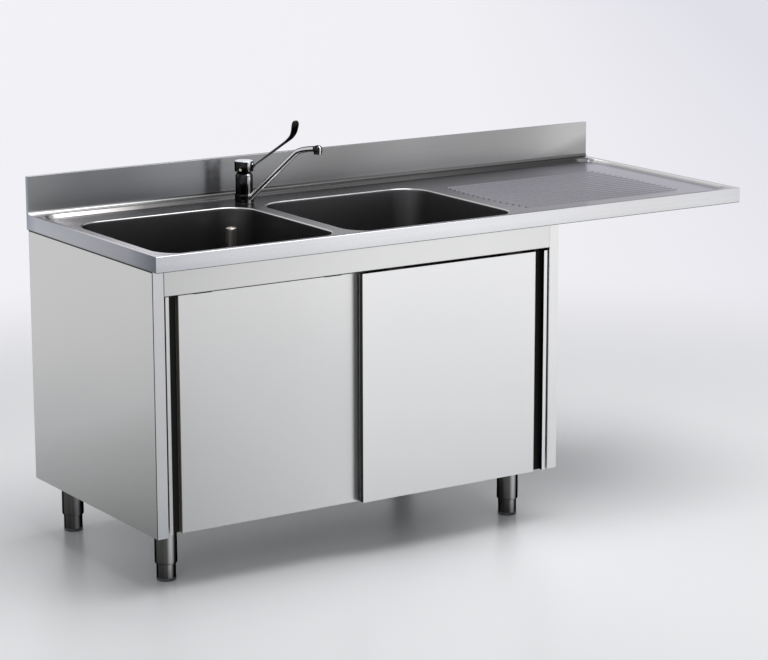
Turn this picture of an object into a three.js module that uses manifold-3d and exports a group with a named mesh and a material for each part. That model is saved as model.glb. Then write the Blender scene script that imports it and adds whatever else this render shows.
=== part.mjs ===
// Commercial sink unit: a pressed stainless worktop with two bowls and a ribbed drainer,
// standing on a sliding-door cabinet. The drainer end overhangs an open machine bay.
// Units are millimetres, +Z is up, the front faces -Y, the origin is on the floor
// under the centre of the worktop.

import * as THREE from 'three'
import { mergeVertices } from 'three/addons/utils/BufferGeometryUtils.js'
import loadManifold from 'manifold-3d'

const wasm = await loadManifold()
wasm.setup()

// ---------------------------------------------------------------- driving dimensions

// Overall
const worktopWidth = 1800
const worktopDepth = 700
const worktopHeight = 850
const apronHeight = 40
const upstandHeight = 100
const upstandThickness = 12

// Sheet gauges and common clearances
const worktopSheet = 1.5
const bowlSheet = 1.2
const panelSheet = 1.2
const weldGap = 0.3
const seatGap = 0.3

// Worktop pressing
const edgeBend = 2
const upstandCove = 8
const sideRim = 12
const frontRim = 16
const rearRim = 23
const recessDepth = 10
const recessSlope = 12
const recessCorner = 55
const recessSteps = 4
const apronReturn = 15

// Bowls
const bowlWidth = 500
const bowlFrontMargin = 57
const tapLedge = 143
const bowlLength = worktopDepth - bowlFrontMargin - tapLedge
const bowlDepth = 300
const bowlCorner = 75
const bowlLip = 3.5
const bowlDraft = 10
const bowlFloorRadius = 12
const bowlFlange = 8
const firstBowlCentre = 307.5
const bowlPitch = 543

// Drainer ribs
const ribCount = 16
const ribPitch = 24.5
const ribWidth = 15
const ribHeight = 2.2
const ribFieldStart = 1146
const ribFieldEnd = 1687
const ribFieldCentreFromFront = 304.5
const ribStartBow = 15
const ribEndBow = 7

// Drain fittings
const drainCornerOffset = 78
const drainSeatRadius = 45.5
const drainSeatDepth = 5
const drainHoleRadius = 27
const drainFlangeRadius = 44
const drainFlangeThickness = 2
const drainMouthRadius = 25
const drainBore = 20
const drainTailRadius = 25.5
const drainTailLength = 75
const drainNutRadius = 36
const drainNutHeight = 10
const gasketThickness = 1.5

// Standpipe
const standpipeRadius = 13.5
const standpipeWall = 1.5
const standpipeTopBelowDeck = 40
const standpipePlugRadius = 23.5

// Cabinet
const cabinetInset = 1
const cabinetWidth = 1199
const cabinetBottom = 150
const cabinetSetback = 20
const cabinetRearGap = 9
const cabinetDepth = worktopDepth - cabinetSetback - cabinetRearGap
const panelFlange = 20
const leftPostWidth = 30
const rightPostWidth = 28.5
const postReturn = 25
const panelBehindPost = 22
const shelfHeight = 30
const shelfSetback = 52
const shelfReturn = 15
const railHeight = 62.5
const railFlange = 34.3
const railLip = 10

// Sliding doors
const doorWidth = 573.5
const doorThickness = 16
const doorBottomDrop = 1
const doorTopGap = 6.5
const leftDoorGap = 14
const rightDoorGap = 7
const doorPlaneGap = 5.5
const handleFlange = 10
const handleWidth = 24.5
const handleFold = 7
const handleDepth = 13.3
const foldRadius = 1.5
const guideSlot = 5.5

// Door running gear
const trackTopPlate = 1.5
const trackHeight = 45.8
const trackWall = 1.5
const wheelRadius = 12
const wheelWidth = 5
const wheelToWall = 1
const wheelToLipEdge = 0.6
const wheelToHanger = 1.3
const wheelBore = 3.1
const axleRadius = 3
const wheelRunGap = 0.15
const hangerThickness = 2
const hangerWidth = 50
const hangerFoot = 9
const hangerSetback = [11, 23.5]
const hangerFromHandleEnd = [100, 470]
const guideWidth = 10
const guideFin = 4

// Feet
const footSleeveRadius = 28.5
const footTubeRadius = 24.5
const footStep = 44
const footPadHeight = 8
const footWall = 1.2
const footStudRadius = 6
const footChannelWidth = 70
const leftFootInset = 91
const rightFootInset = 63
const frontFootFromFront = 152
const rearFootFromBack = 36

// Under-top stiffeners
const stiffenerDrop = 27
const frontStiffenerDepth = 28
const rearStiffenerDepth = 38
const crossbarWidth = 38
const crossbarStarts = [1271, 1531]

// Mixer tap, heights above the deck
const tapFromLeft = 586
const tapFromBack = 108
const tapHoleRadius = 17.5
const tapShankRadius = 15
const tapShankLength = 45
const tapBodyRadius = 23
const tapBodyTop = 71.8
const tapBaseRadius = 25
const tapNeckRadius = 20
const tapInletRadius = 4.5
const tapInletDepth = 25
const tapInletSpacing = 14
const sealThickness = 1.5
const baseFlange = 1.8
const collarHeight = 21.6
const turnGap = 0.25
const cartridgeBore = 15.3
const cartridgeFloor = 48
const coverHeight = 13.6
const coverDome = 12
const coverTopRadius = 15.5
const capBottom = 85.5
const capTop = 113.5
const capWall = 2.5
const capRoof = 4
const capEdge = 3
const stemRadius = 4
const stemBottom = 55
const tapNutRadius = 24
const tapNutHeight = 10
const tapNutFlange = 27
const tapNutFlangeThickness = 2

// Spout
const spoutAngle = -66
const spoutRadius = 7.5
const spoutRoot = [21, 16]
const spoutBendStart = [166, 146]
const spoutBendHandle = [181, 159.4]
const spoutEnd = [237, 163.5]
const spoutHeadRadius = 12
const spoutHeadBottom = 155.5
const spoutHeadTop = 172.5
const aeratorRadius = 11
const aeratorHeight = 6

// Lever: path radius, path height, half width, half thickness of each section
const leverAngle = -62
const leverSlope = 34
const leverRodRadius = 3.4
const leverSocketRadius = 6
const leverSocketStart = 19
const leverSocketEnd = 34
const leverSocketHeight = 96
const leverPaddle = [
  [112, 159.4, 3.4, 3.4, 34],
  [133, 174.6, 4.2, 4.0, 38],
  [147, 187.0, 6.5, 6.0, 49],
  [154.5, 200, 9.5, 8.0, 66],
  [158, 213, 11.5, 8.8, 78],
  [159.8, 223, 11.5, 8.6, 84],
  [160.4, 228.5, 8.5, 6.0, 86],
  [160.6, 230.5, 4.0, 2.5, 87],
]
const indexAngle = -82
const indexHeight = 91
const indexRadius = 3.4
const indexDepth = 1

// ---------------------------------------------------------------- derived places

const left = -worktopWidth / 2
const right = worktopWidth / 2
const front = -worktopDepth / 2
const back = worktopDepth / 2
const apronBottom = worktopHeight - apronHeight
const upstandFace = back - upstandThickness
const upstandTop = worktopHeight + upstandHeight
const deckTop = worktopHeight - recessDepth
const deckUnder = deckTop - worktopSheet

const cabinetLeft = left + cabinetInset
const cabinetRight = cabinetLeft + cabinetWidth
const cabinetFront = front + cabinetSetback
const cabinetBack = cabinetFront + cabinetDepth
const cabinetTop = apronBottom
const panelBack = cabinetBack - panelSheet
const leftPostEdge = cabinetLeft + leftPostWidth
const rightPostEdge = cabinetRight - rightPostWidth
const shelfTop = cabinetBottom + shelfHeight
const shelfFront = cabinetFront + shelfSetback
const railBottom = cabinetTop - railHeight

const bowlFloor = deckTop - bowlDepth
const bowlCentres = [0, 1].map((i) => left + firstBowlCentre + i * bowlPitch)
const bowlMiddleY = front + bowlFrontMargin + bowlLength / 2
const drainSide = [1, -1]

const rightDoorEnd = rightPostEdge - rightDoorGap
const leftDoorEnd = leftPostEdge + leftDoorGap
const doorBottom = cabinetBottom - doorBottomDrop
const doorTop = railBottom - doorTopGap
const rightDoorFace = cabinetFront
const leftDoorFace = cabinetFront + doorThickness + doorPlaneGap
const doorMiddle = (leftDoorEnd + rightDoorEnd) / 2

const trackTop = cabinetTop - panelSheet
const trackRun = trackTop - trackHeight + trackWall
const wheelAxis = trackRun + wheelRadius + wheelRunGap

const tapX = left + tapFromLeft
const tapY = back - tapFromBack

// ---------------------------------------------------------------- finishes

const steel = { color: 0xb9bab8, roughness: 0.34, metalness: 1 }
const brightSteel = { color: 0xc6c7c7, roughness: 0.2, metalness: 1 }
const bowlSteel = { color: 0x9fa0a0, roughness: 0.18, metalness: 1 }
const chrome = { color: 0xd8dadc, roughness: 0.05, metalness: 1 }
const zinc = { color: 0x8f9294, roughness: 0.5, metalness: 0.9 }
const nylon = { color: 0xe6e4dc, roughness: 0.55, metalness: 0 }
const rubber = { color: 0x1b1c1d, roughness: 0.75, metalness: 0 }

// ---------------------------------------------------------------- solid helpers

// A geometry with shared corners only, ready for joining and cutting.
function bare(geometry) {
  const plain = geometry.index ? geometry.toNonIndexed() : geometry.clone()
  plain.deleteAttribute('normal')
  plain.deleteAttribute('uv')
  return mergeVertices(plain, 1e-4)
}

// Signed volume tells whether the faces point outwards.
function signedVolume(geometry) {
  const p = geometry.attributes.position
  const index = geometry.index.array
  const a = new THREE.Vector3()
  const b = new THREE.Vector3()
  const c = new THREE.Vector3()
  let sum = 0
  for (let i = 0; i < index.length; i += 3) {
    a.fromBufferAttribute(p, index[i])
    b.fromBufferAttribute(p, index[i + 1])
    c.fromBufferAttribute(p, index[i + 2])
    sum += a.dot(b.cross(c))
  }
  return sum / 6
}

function solid(geometry) {
  const shape = bare(geometry)
  const index = Uint32Array.from(shape.index.array)
  if (signedVolume(shape) < 0) {
    for (let i = 0; i < index.length; i += 3) {
      [index[i], index[i + 1]] = [index[i + 1], index[i]]
    }
  }
  const vertProperties = Float32Array.from(shape.attributes.position.array)
  return new wasm.Manifold(new wasm.Mesh({ numProp: 3, vertProperties, triVerts: index }))
}

function geometryOf(manifold) {
  const mesh = manifold.getMesh()
  const geometry = new THREE.BufferGeometry()
  const position = new THREE.BufferAttribute(new Float32Array(mesh.vertProperties), 3)
  geometry.setAttribute('position', position)
  geometry.setIndex(Array.from(mesh.triVerts))
  geometry.computeVertexNormals()
  return geometry
}

function joined(parts) {
  return parts.reduce((sum, part) => sum.add(part))
}

function block(x0, x1, y0, y1, z0, z1) {
  const box = new THREE.BoxGeometry(x1 - x0, y1 - y0, z1 - z0)
  return solid(box.translate((x0 + x1) / 2, (y0 + y1) / 2, (z0 + z1) / 2))
}

// Corner list [a, b, radius] to a closed outline whose corners are rounded.
function rounded(corners, steps = 3) {
  const outline = []
  corners.forEach(([a, b, radius = 0], i) => {
    const here = new THREE.Vector2(a, b)
    if (radius === 0) {
      outline.push(here)
      return
    }
    const before = corners.at(i - 1)
    const after = corners[(i + 1) % corners.length]
    const inward = new THREE.Vector2(before[0] - a, before[1] - b).normalize()
    const onward = new THREE.Vector2(after[0] - a, after[1] - b).normalize()
    const half = Math.acos(THREE.MathUtils.clamp(inward.dot(onward), -1, 1)) / 2
    const middle = inward.clone().add(onward).normalize()
    const centre = here.clone().addScaledVector(middle, radius / Math.sin(half))
    const start = here.clone().addScaledVector(inward, radius / Math.tan(half)).sub(centre)
    const end = here.clone().addScaledVector(onward, radius / Math.tan(half)).sub(centre)
    const from = start.angle()
    let turn = end.angle() - from
    if (turn > Math.PI) turn -= 2 * Math.PI
    if (turn < -Math.PI) turn += 2 * Math.PI
    for (let k = 0; k <= steps; k += 1) {
      const angle = from + (turn * k) / steps
      outline.push(new THREE.Vector2(Math.cos(angle), Math.sin(angle)).multiplyScalar(radius).add(centre))
    }
  })
  return outline
}

function extrusion(outline, depth) {
  return new THREE.ExtrudeGeometry(new THREE.Shape(outline), { depth, bevelEnabled: false })
}

// Outline in Y,Z pulled along X.
function alongX(outline, x0, x1) {
  const turn = new THREE.Matrix4().set(0, 0, 1, x0, 1, 0, 0, 0, 0, 1, 0, 0, 0, 0, 0, 1)
  return solid(extrusion(outline, x1 - x0).applyMatrix4(turn))
}

// Outline in X,Z pulled along Y.
function alongY(outline, y0, y1) {
  const turn = new THREE.Matrix4().set(1, 0, 0, 0, 0, 0, -1, y1, 0, 1, 0, 0, 0, 0, 0, 1)
  return solid(extrusion(outline, y1 - y0).applyMatrix4(turn))
}

// Outline in X,Y pulled along Z.
function alongZ(outline, z0, z1) {
  return solid(extrusion(outline, z1 - z0).translate(0, 0, z0))
}

// An open path folded from sheet: the sheet lies on the left of the path.
function foldedSheet(path, gauge, bend = foldRadius) {
  const inner = []
  const outer = []
  path.forEach(([a, b], i) => {
    const before = path[i - 1]
    const after = path[i + 1]
    const into = before && new THREE.Vector2(a - before[0], b - before[1]).normalize()
    const out = after && new THREE.Vector2(after[0] - a, after[1] - b).normalize()
    const first = into ?? out
    const last = out ?? into
    const turn = first.cross(last)
    const normal = new THREE.Vector2(-first.y - last.y, first.x + last.x)
    normal.multiplyScalar(gauge / (1 + first.dot(last)))
    const [near, far] = turn > 0 ? [bend + gauge, bend] : [bend, bend + gauge]
    outer.push([a, b, turn === 0 ? 0 : near])
    inner.unshift([a + normal.x, b + normal.y, turn === 0 ? 0 : far])
  })
  return rounded([...outer, ...inner], 2)
}

// Rings of equal count joined into one closed body; both ends are convex and capped.
function loft(rings) {
  const count = rings[0].length
  const positions = rings.flat().flatMap((p) => [p.x, p.y, p.z])
  const index = []
  for (let r = 0; r < rings.length - 1; r += 1) {
    for (let i = 0; i < count; i += 1) {
      const a = r * count + i
      const b = r * count + ((i + 1) % count)
      index.push(a, b, b + count, a, b + count, a + count)
    }
  }
  const top = (rings.length - 1) * count
  for (let i = 1; i < count - 1; i += 1) {
    index.push(0, i + 1, i, top, top + i, top + i + 1)
  }
  const geometry = new THREE.BufferGeometry()
  geometry.setAttribute('position', new THREE.Float32BufferAttribute(positions, 3))
  geometry.setIndex(index)
  return solid(geometry)
}

// Rounded rectangle ring at one height.
function frameRing(x0, x1, y0, y1, radius, z, steps = 5) {
  const corners = [[x0, y0, radius], [x1, y0, radius], [x1, y1, radius], [x0, y1, radius]]
  return rounded(corners, steps).map((p) => new THREE.Vector3(p.x, p.y, z))
}

// Turned part about the Z axis from [radius, height] pairs.
function turned(profile, segments = 24) {
  const points = profile.map(([r, z]) => new THREE.Vector2(r, z))
  return solid(new THREE.LatheGeometry(points, segments).rotateX(Math.PI / 2))
}

function ring(inner, outer, z0, z1, segments = 24) {
  return turned([[inner, z0], [outer, z0], [outer, z1], [inner, z1], [inner, z0]], segments)
}

function rod(radius, z0, z1, segments = 24) {
  return turned([[0, z0], [radius, z0], [radius, z1], [0, z1]], segments)
}

// A sheet tray: a box hollowed from one open side.
function tray(x0, x1, y0, y1, z0, z1, gauge, open) {
  const grow = { x0: gauge, x1: -gauge, y0: gauge, y1: -gauge, z0: gauge, z1: -gauge }
  grow[open] = open.endsWith('0') ? -gauge : gauge
  const hollow = block(x0 + grow.x0, x1 + grow.x1, y0 + grow.y0, y1 + grow.y1, z0 + grow.z0, z1 + grow.z1)
  return block(x0, x1, y0, y1, z0, z1).subtract(hollow)
}

// ---------------------------------------------------------------- worktop

// The recess pressed into the top: an eased slope all round down to a flat deck.
function recess(drop) {
  const edge = (inset, z) => frameRing(
    left + sideRim + inset, right - sideRim - inset,
    front + frontRim + inset, upstandFace - rearRim - inset,
    recessCorner - inset, z - drop,
  )
  const rings = [edge(0, worktopHeight + upstandHeight)]
  for (let s = 0; s <= recessSteps; s += 1) {
    const ease = (1 - Math.cos((Math.PI * s) / recessSteps)) / 2
    rings.push(edge((recessSlope * s) / recessSteps, worktopHeight - recessDepth * ease))
  }
  return loft(rings)
}

function worktopProfile(gauge, bottom) {
  return rounded([
    [front + gauge, bottom],
    [front + gauge, worktopHeight - gauge, edgeBend],
    [upstandFace + gauge, worktopHeight - gauge, upstandCove],
    [upstandFace + gauge, upstandTop - gauge, edgeBend],
    [back - gauge, upstandTop - gauge, edgeBend],
    [back - gauge, bottom],
  ], 4)
}

// One raised rib, a low ridge with round ends; drop gives the matching hollow below.
function rib(index, drop) {
  const away = index - (ribCount - 1) / 2
  const bow = (away / ((ribCount - 1) / 2)) ** 2
  const y = front + ribFieldCentreFromFront + away * ribPitch
  const x0 = left + ribFieldStart + ribStartBow * bow
  const x1 = left + ribFieldEnd - ribEndBow * bow
  const level = (inset, z) => {
    const half = ribWidth / 2 - inset
    return frameRing(x0 + inset, x1 - inset, y - half, y + half, half * 0.98, z - drop, drop ? 1 : 2)
  }
  const shoulder = drop ? [] : [level(ribWidth / 8, deckTop + ribHeight * 0.6)]
  return loft([level(0, deckTop - seatGap), ...shoulder, level(ribWidth / 3.2, deckTop + ribHeight)])
}

function bowlOpening(centre, grow) {
  const half = bowlWidth / 2 + bowlLip + grow
  const halfLength = bowlLength / 2 + bowlLip + grow
  const corner = bowlCorner + bowlLip + grow
  const ringAt = (z) => frameRing(
    centre - half, centre + half, bowlMiddleY - halfLength, bowlMiddleY + halfLength, corner, z,
  )
  return loft([ringAt(deckTop - recessDepth), ringAt(deckTop + recessDepth)])
}

function worktop() {
  const returnTop = apronBottom + worktopSheet
  const inside = alongX(worktopProfile(worktopSheet, returnTop), left + worktopSheet, right - worktopSheet)
  const hollow = inside.subtract(recess(worktopSheet))
  const mouth = block(
    left + apronReturn, right - apronReturn, front + apronReturn, upstandFace,
    apronBottom - worktopSheet, returnTop + worktopSheet,
  )
  let top = alongX(worktopProfile(0, apronBottom), left, right)
  top = top.subtract(hollow).subtract(mouth).subtract(recess(0))
  for (let i = 0; i < ribCount; i += 1) {
    top = top.add(rib(i, 0)).subtract(rib(i, worktopSheet))
  }
  for (const centre of bowlCentres) {
    top = top.subtract(bowlOpening(centre, weldGap))
  }
  return top.subtract(rod(tapHoleRadius, deckTop - recessDepth, deckTop + recessDepth)
    .translate([tapX, tapY, 0]))
}

// ---------------------------------------------------------------- bowls and drains

function drainPlace(i) {
  const offset = bowlWidth / 2 - drainCornerOffset
  return [bowlCentres[i] + drainSide[i] * offset, bowlMiddleY + bowlLength / 2 - drainCornerOffset]
}

// Pressed bowl: rolled lip, drafted walls, filleted floor, welded flange, sunk drain seat.
function bowl(i) {
  const level = (inset, z) => frameRing(
    bowlCentres[i] - bowlWidth / 2 - bowlLip + inset,
    bowlCentres[i] + bowlWidth / 2 + bowlLip - inset,
    bowlMiddleY - bowlLength / 2 - bowlLip + inset,
    bowlMiddleY + bowlLength / 2 + bowlLip - inset,
    bowlCorner + bowlLip - inset, z,
  )
  const wall = bowlLip + bowlDraft
  const quarter = [0, 1, 2, 3].map((k) => (k * Math.PI) / 6)
  const floorArc = (gauge) => quarter.map((a) => level(
    wall - gauge + (bowlFloorRadius + gauge) * (1 - Math.cos(a)),
    bowlFloor + bowlFloorRadius - (bowlFloorRadius + gauge) * Math.sin(a),
  ))
  const flangeTop = deckUnder
  const flangeUnder = deckUnder - bowlSheet
  const rings = [
    ...floorArc(bowlSheet).reverse(),
    level(bowlLip - bowlSheet, flangeUnder),
    level(-bowlFlange, flangeUnder),
    level(-bowlFlange, flangeTop),
    level(0, flangeTop),
    ...quarter.map((a) => level(bowlLip * Math.sin(a), deckTop - bowlLip * (1 - Math.cos(a)))),
    ...floorArc(0),
  ]
  const [x, y] = drainPlace(i)
  const seat = bowlFloor - drainSeatDepth
  const well = rod(drainSeatRadius + bowlSheet, seat - bowlSheet, bowlFloor - bowlSheet / 2)
  return loft(rings)
    .add(well.translate([x, y, 0]))
    .subtract(rod(drainSeatRadius, seat, bowlFloor + bowlSheet).translate([x, y, 0]))
    .subtract(rod(drainHoleRadius, seat - 2 * bowlSheet, seat + bowlSheet).translate([x, y, 0]))
}

const drainSeat = bowlFloor - drainSeatDepth
const drainFlangeUnder = drainSeat + gasketThickness
const drainFlangeTop = drainFlangeUnder + drainFlangeThickness
const drainThroat = drainFlangeTop - (drainMouthRadius - drainBore)
const drainOutlet = drainSeat - drainTailLength

function drainGasket() {
  return ring(drainHoleRadius, drainFlangeRadius, drainSeat, drainFlangeUnder)
}

function drainBody() {
  return turned([
    [drainBore, drainOutlet],
    [drainTailRadius, drainOutlet],
    [drainTailRadius, drainFlangeUnder],
    [drainFlangeRadius, drainFlangeUnder],
    [drainFlangeRadius, drainFlangeTop - 0.5],
    [drainMouthRadius, drainFlangeTop],
    [drainBore, drainThroat],
    [drainBore, drainOutlet],
  ])
}

// Hexagon back nut clamped up under the bowl.
function drainNut() {
  const top = drainSeat - bowlSheet - seatGap
  const hexagon = rod(drainNutRadius, top - drainNutHeight, top, 6)
  return hexagon.subtract(rod(drainTailRadius + seatGap, top - 2 * drainNutHeight, top + 1))
}

const standpipeTop = deckTop - standpipeTopBelowDeck
const plugBottom = drainThroat - 15
const plugShoulder = drainThroat + (standpipePlugRadius - drainBore) + seatGap

function standpipe() {
  const bore = standpipeRadius - standpipeWall
  return turned([
    [bore, plugBottom - 7],
    [standpipeRadius, plugBottom - 7],
    [standpipeRadius, standpipeTop - 4],
    [standpipeRadius + 0.8, standpipeTop - 2.5],
    [standpipeRadius + 0.8, standpipeTop - 0.8],
    [standpipeRadius, standpipeTop],
    [bore, standpipeTop],
    [bore, plugBottom - 7],
  ])
}

function standpipePlug() {
  const grip = standpipeRadius + 0.2
  return turned([
    [grip, plugBottom],
    [drainBore - seatGap, plugBottom],
    [drainBore - seatGap, drainThroat + seatGap],
    [standpipePlugRadius, plugShoulder],
    [standpipePlugRadius, plugShoulder + 4],
    [grip + 2, plugShoulder + 6],
    [grip, plugShoulder + 6],
    [grip, plugBottom],
  ])
}

// ---------------------------------------------------------------- under-top stiffeners

// Channel folded from sheet, open below, its web against the underside of the deck.
function channelSection(from, to, bottom, top) {
  return foldedSheet([[to, bottom], [to, top], [from, top], [from, bottom]], panelSheet)
}

function frontStiffener() {
  const top = deckUnder - bowlSheet - weldGap
  const from = front + frontRim + recessSlope / 2
  const section = channelSection(from, from + frontStiffenerDepth, top - stiffenerDrop + bowlSheet, top)
  return alongX(section, left + panelFlange, right - panelFlange)
}

function rearStiffener() {
  const from = tapY + tapNutRadius + 6
  const top = deckUnder
  const section = channelSection(from, from + rearStiffenerDepth, top - stiffenerDrop, top)
  return alongX(section, left + panelFlange, right - panelFlange)
}

function crossbar(i) {
  const from = left + crossbarStarts[i]
  const section = channelSection(from, from + crossbarWidth, cabinetTop, deckUnder)
  const y0 = front + frontRim + recessSlope / 2 + frontStiffenerDepth + seatGap
  return alongY(section, y0, tapY + tapNutRadius + 6 - seatGap)
}

// ---------------------------------------------------------------- cabinet carcass

function sidePanel(side) {
  const [x0, x1] = side === 'left'
    ? [cabinetLeft, cabinetLeft + panelFlange]
    : [cabinetRight - panelFlange, cabinetRight]
  const open = side === 'left' ? 'x1' : 'x0'
  return tray(x0, x1, front + panelBehindPost, panelBack, cabinetBottom, cabinetTop, panelSheet, open)
}

// Front post: an angle folded from sheet that covers the front edge of the side panel.
function frontPost(side) {
  const depth = cabinetFront + postReturn
  const path = side === 'left'
    ? [[cabinetLeft, cabinetFront], [leftPostEdge, cabinetFront], [leftPostEdge, depth]]
    : [[rightPostEdge, depth], [rightPostEdge, cabinetFront], [cabinetRight, cabinetFront]]
  return alongZ(foldedSheet(path, panelSheet), cabinetBottom, cabinetTop)
}

function backPanel() {
  return block(cabinetLeft, cabinetRight, panelBack, cabinetBack, cabinetBottom, cabinetTop)
}

const shelfLeft = cabinetLeft + panelFlange + seatGap
const shelfRight = cabinetRight - panelFlange - seatGap

function bottomShelf() {
  const y1 = panelBack - seatGap
  const body = tray(shelfLeft, shelfRight, shelfFront, y1, cabinetBottom, shelfTop, panelSheet, 'z0')
  const lip = block(shelfLeft, shelfRight, shelfFront, shelfFront + shelfReturn,
    cabinetBottom, cabinetBottom + panelSheet)
  return body.add(lip)
}

function topRail() {
  const path = [
    [cabinetFront + railLip, railBottom],
    [cabinetFront, railBottom],
    [cabinetFront, cabinetTop],
    [cabinetFront + railFlange, cabinetTop],
  ]
  const section = foldedSheet(path.reverse(), panelSheet)
  return alongX(section, leftPostEdge + seatGap, rightPostEdge - seatGap)
}

// ---------------------------------------------------------------- doors

// Door section in plan. The full-height handle is a channel folded into the face
// at the closing edge; toward is +1 for the right door and -1 for the left.
function doorOutline(toward, end, face, gauge, depth) {
  const inner = handleFlange + handleWidth
  const fold = foldRadius
  const points = [
    [gauge, gauge, fold],
    [handleFlange - gauge, gauge, fold],
    [handleFlange - gauge, handleDepth + gauge],
    [inner + gauge, handleDepth + gauge],
    [inner + gauge, gauge, handleFold - gauge],
    [doorWidth - gauge, gauge, fold],
    [doorWidth - gauge, depth],
    [gauge, depth],
  ]
  return rounded(points.map(([s, d, r]) => [end - toward * s, face + d, r]), 2)
}

function doorSkin(toward, end, face) {
  const skinDepth = doorThickness - panelSheet
  const shell = alongZ(doorOutline(toward, end, face, 0, skinDepth), doorBottom, doorTop)
  const hollow = alongZ(doorOutline(toward, end, face, panelSheet, skinDepth + 1),
    doorBottom + panelSheet, doorTop - panelSheet)
  const slotStart = end - toward * (handleFlange + handleWidth + handleFold + 2 * panelSheet)
  const slotEnd = end - toward * (doorWidth - 2 * panelSheet)
  const slot = block(
    Math.min(slotStart, slotEnd), Math.max(slotStart, slotEnd),
    face + (doorThickness - guideSlot) / 2, face + (doorThickness + guideSlot) / 2,
    doorBottom - 1, doorBottom + 2 * panelSheet,
  )
  return shell.subtract(hollow).subtract(slot)
}

function doorInnerPanel(toward, end, face) {
  const other = end - toward * doorWidth
  return block(Math.min(end, other), Math.max(end, other),
    face + doorThickness - panelSheet, face + doorThickness, doorBottom, doorTop)
}

// Each lane runs front to back: hanger plate, wheel on the lip, wall.
function lane(i) {
  const plateFront = cabinetFront + hangerSetback[i]
  const plateBack = plateFront + hangerThickness
  const wheelFront = plateBack + wheelToHanger
  const wallFront = wheelFront + wheelWidth + wheelToWall
  return { plateFront, plateBack, wheelFront, wallFront, lipFront: wheelFront - wheelToLipEdge }
}

// Double track: two hanging walls, each with a forward lip that carries the wheels.
function doorTrack() {
  const top = trackTop - trackTopPlate
  const bottom = trackTop - trackHeight
  const y0 = lane(0).plateFront
  const section = [[y0, trackTop], [y0, top]]
  for (const { lipFront, wallFront } of [lane(0), lane(1)]) {
    section.push(
      [wallFront, top],
      [wallFront, trackRun],
      [lipFront, trackRun],
      [lipFront, bottom],
      [wallFront + trackWall, bottom],
      [wallFront + trackWall, top],
    )
  }
  section.pop()
  section.push([lane(1).wallFront + trackWall, trackTop])
  const outline = section.map(([y, z]) => new THREE.Vector2(y, z))
  return alongX(outline, leftPostEdge + seatGap, rightPostEdge - seatGap)
}

function hangerPlace(toward, end, i) {
  return end - toward * hangerFromHandleEnd[i]
}

// Hanger: a foot on the door's top edge, an upright plate and the wheel axle.
function hanger(x, laneIndex) {
  const { plateFront, plateBack } = lane(laneIndex)
  const half = hangerWidth / 2
  const upright = block(x - half, x + half, plateFront, plateBack, doorTop, wheelAxis + 8)
  const footTop = doorTop + hangerThickness
  const foot = block(x - half, x + half, plateBack - hangerFoot, plateBack, doorTop, footTop)
  const shoulder = wheelToHanger - 0.5
  const axle = turned([
    [0, -1], [5, -1], [5, shoulder], [axleRadius, shoulder],
    [axleRadius, wheelToHanger + wheelWidth], [0, wheelToHanger + wheelWidth],
  ], 16)
  return joined([upright, foot, axle.rotate([-90, 0, 0]).translate([x, plateBack, wheelAxis])])
}

function hangerWheel(x, laneIndex) {
  const crown = 0.6
  const wheel = turned([
    [wheelBore, 0],
    [wheelRadius - crown, 0],
    [wheelRadius, crown],
    [wheelRadius, wheelWidth - crown],
    [wheelRadius - crown, wheelWidth],
    [wheelBore, wheelWidth],
    [wheelBore, 0],
  ], 16)
  return wheel.rotate([-90, 0, 0]).translate([x, lane(laneIndex).wheelFront, wheelAxis])
}

// Nylon guide under the middle of the cabinet: one fin runs in each door's bottom slot.
function doorGuide() {
  const half = guideWidth / 2
  const plateTop = doorBottom - seatGap
  const pieces = [
    block(doorMiddle - guideWidth, doorMiddle + guideWidth, cabinetFront + 4, shelfFront + shelfReturn,
      plateTop - 2.5, plateTop),
    block(doorMiddle - guideWidth, doorMiddle + guideWidth, shelfFront, shelfFront + shelfReturn,
      plateTop - 1, cabinetBottom),
  ]
  for (const face of [rightDoorFace, leftDoorFace]) {
    const middle = face + doorThickness / 2
    pieces.push(block(doorMiddle - half, doorMiddle + half, middle - guideFin / 2, middle + guideFin / 2,
      plateTop - 1, doorBottom + 12))
  }
  return joined(pieces)
}

// ---------------------------------------------------------------- feet

const footXs = [cabinetLeft + leftFootInset, cabinetRight - rightFootInset]
const footYs = [front + frontFootFromFront, back - rearFootFromBack]

// U-channel under the shelf that the feet screw into.
function footChannel(x) {
  const half = footChannelWidth / 2
  const path = [[x - half, shelfTop - panelSheet], [x - half, cabinetBottom], [x + half, cabinetBottom],
    [x + half, shelfTop - panelSheet]]
  let channel = alongY(foldedSheet(path, panelSheet), shelfFront + shelfReturn + seatGap + panelSheet,
    panelBack - seatGap - panelSheet - seatGap)
  for (const y of footYs) {
    channel = channel.subtract(rod(footStudRadius + seatGap, cabinetBottom - 1, cabinetBottom + 3, 12)
      .translate([x, y, 0]))
  }
  return channel
}

function footSleeve() {
  const bore = footTubeRadius + 0.5
  const bevel = 1.5
  return turned([
    [0, cabinetBottom - 10],
    [bore, cabinetBottom - 10],
    [bore, footStep],
    [footSleeveRadius - bevel, footStep],
    [footSleeveRadius, footStep + 2 * bevel],
    [footSleeveRadius, cabinetBottom],
    [footStudRadius, cabinetBottom],
    [footStudRadius, cabinetBottom + 18],
    [0, cabinetBottom + 18],
  ], 18)
}

function footTube() {
  const bore = footTubeRadius - footWall
  return ring(bore, footTubeRadius, footPadHeight, cabinetBottom - 40, 18)
}

function footPad() {
  const plug = footTubeRadius - footWall - 0.1
  return turned([
    [0, 0], [footTubeRadius - 1, 0], [footTubeRadius + 0.3, 1.5], [footTubeRadius + 0.3, footPadHeight],
    [plug, footPadHeight], [plug, footPadHeight + 12], [0, footPadHeight + 12],
  ], 18)
}

// ---------------------------------------------------------------- mixer tap

const collarBottom = sealThickness + baseFlange + turnGap
const collarTop = collarBottom + collarHeight

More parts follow.
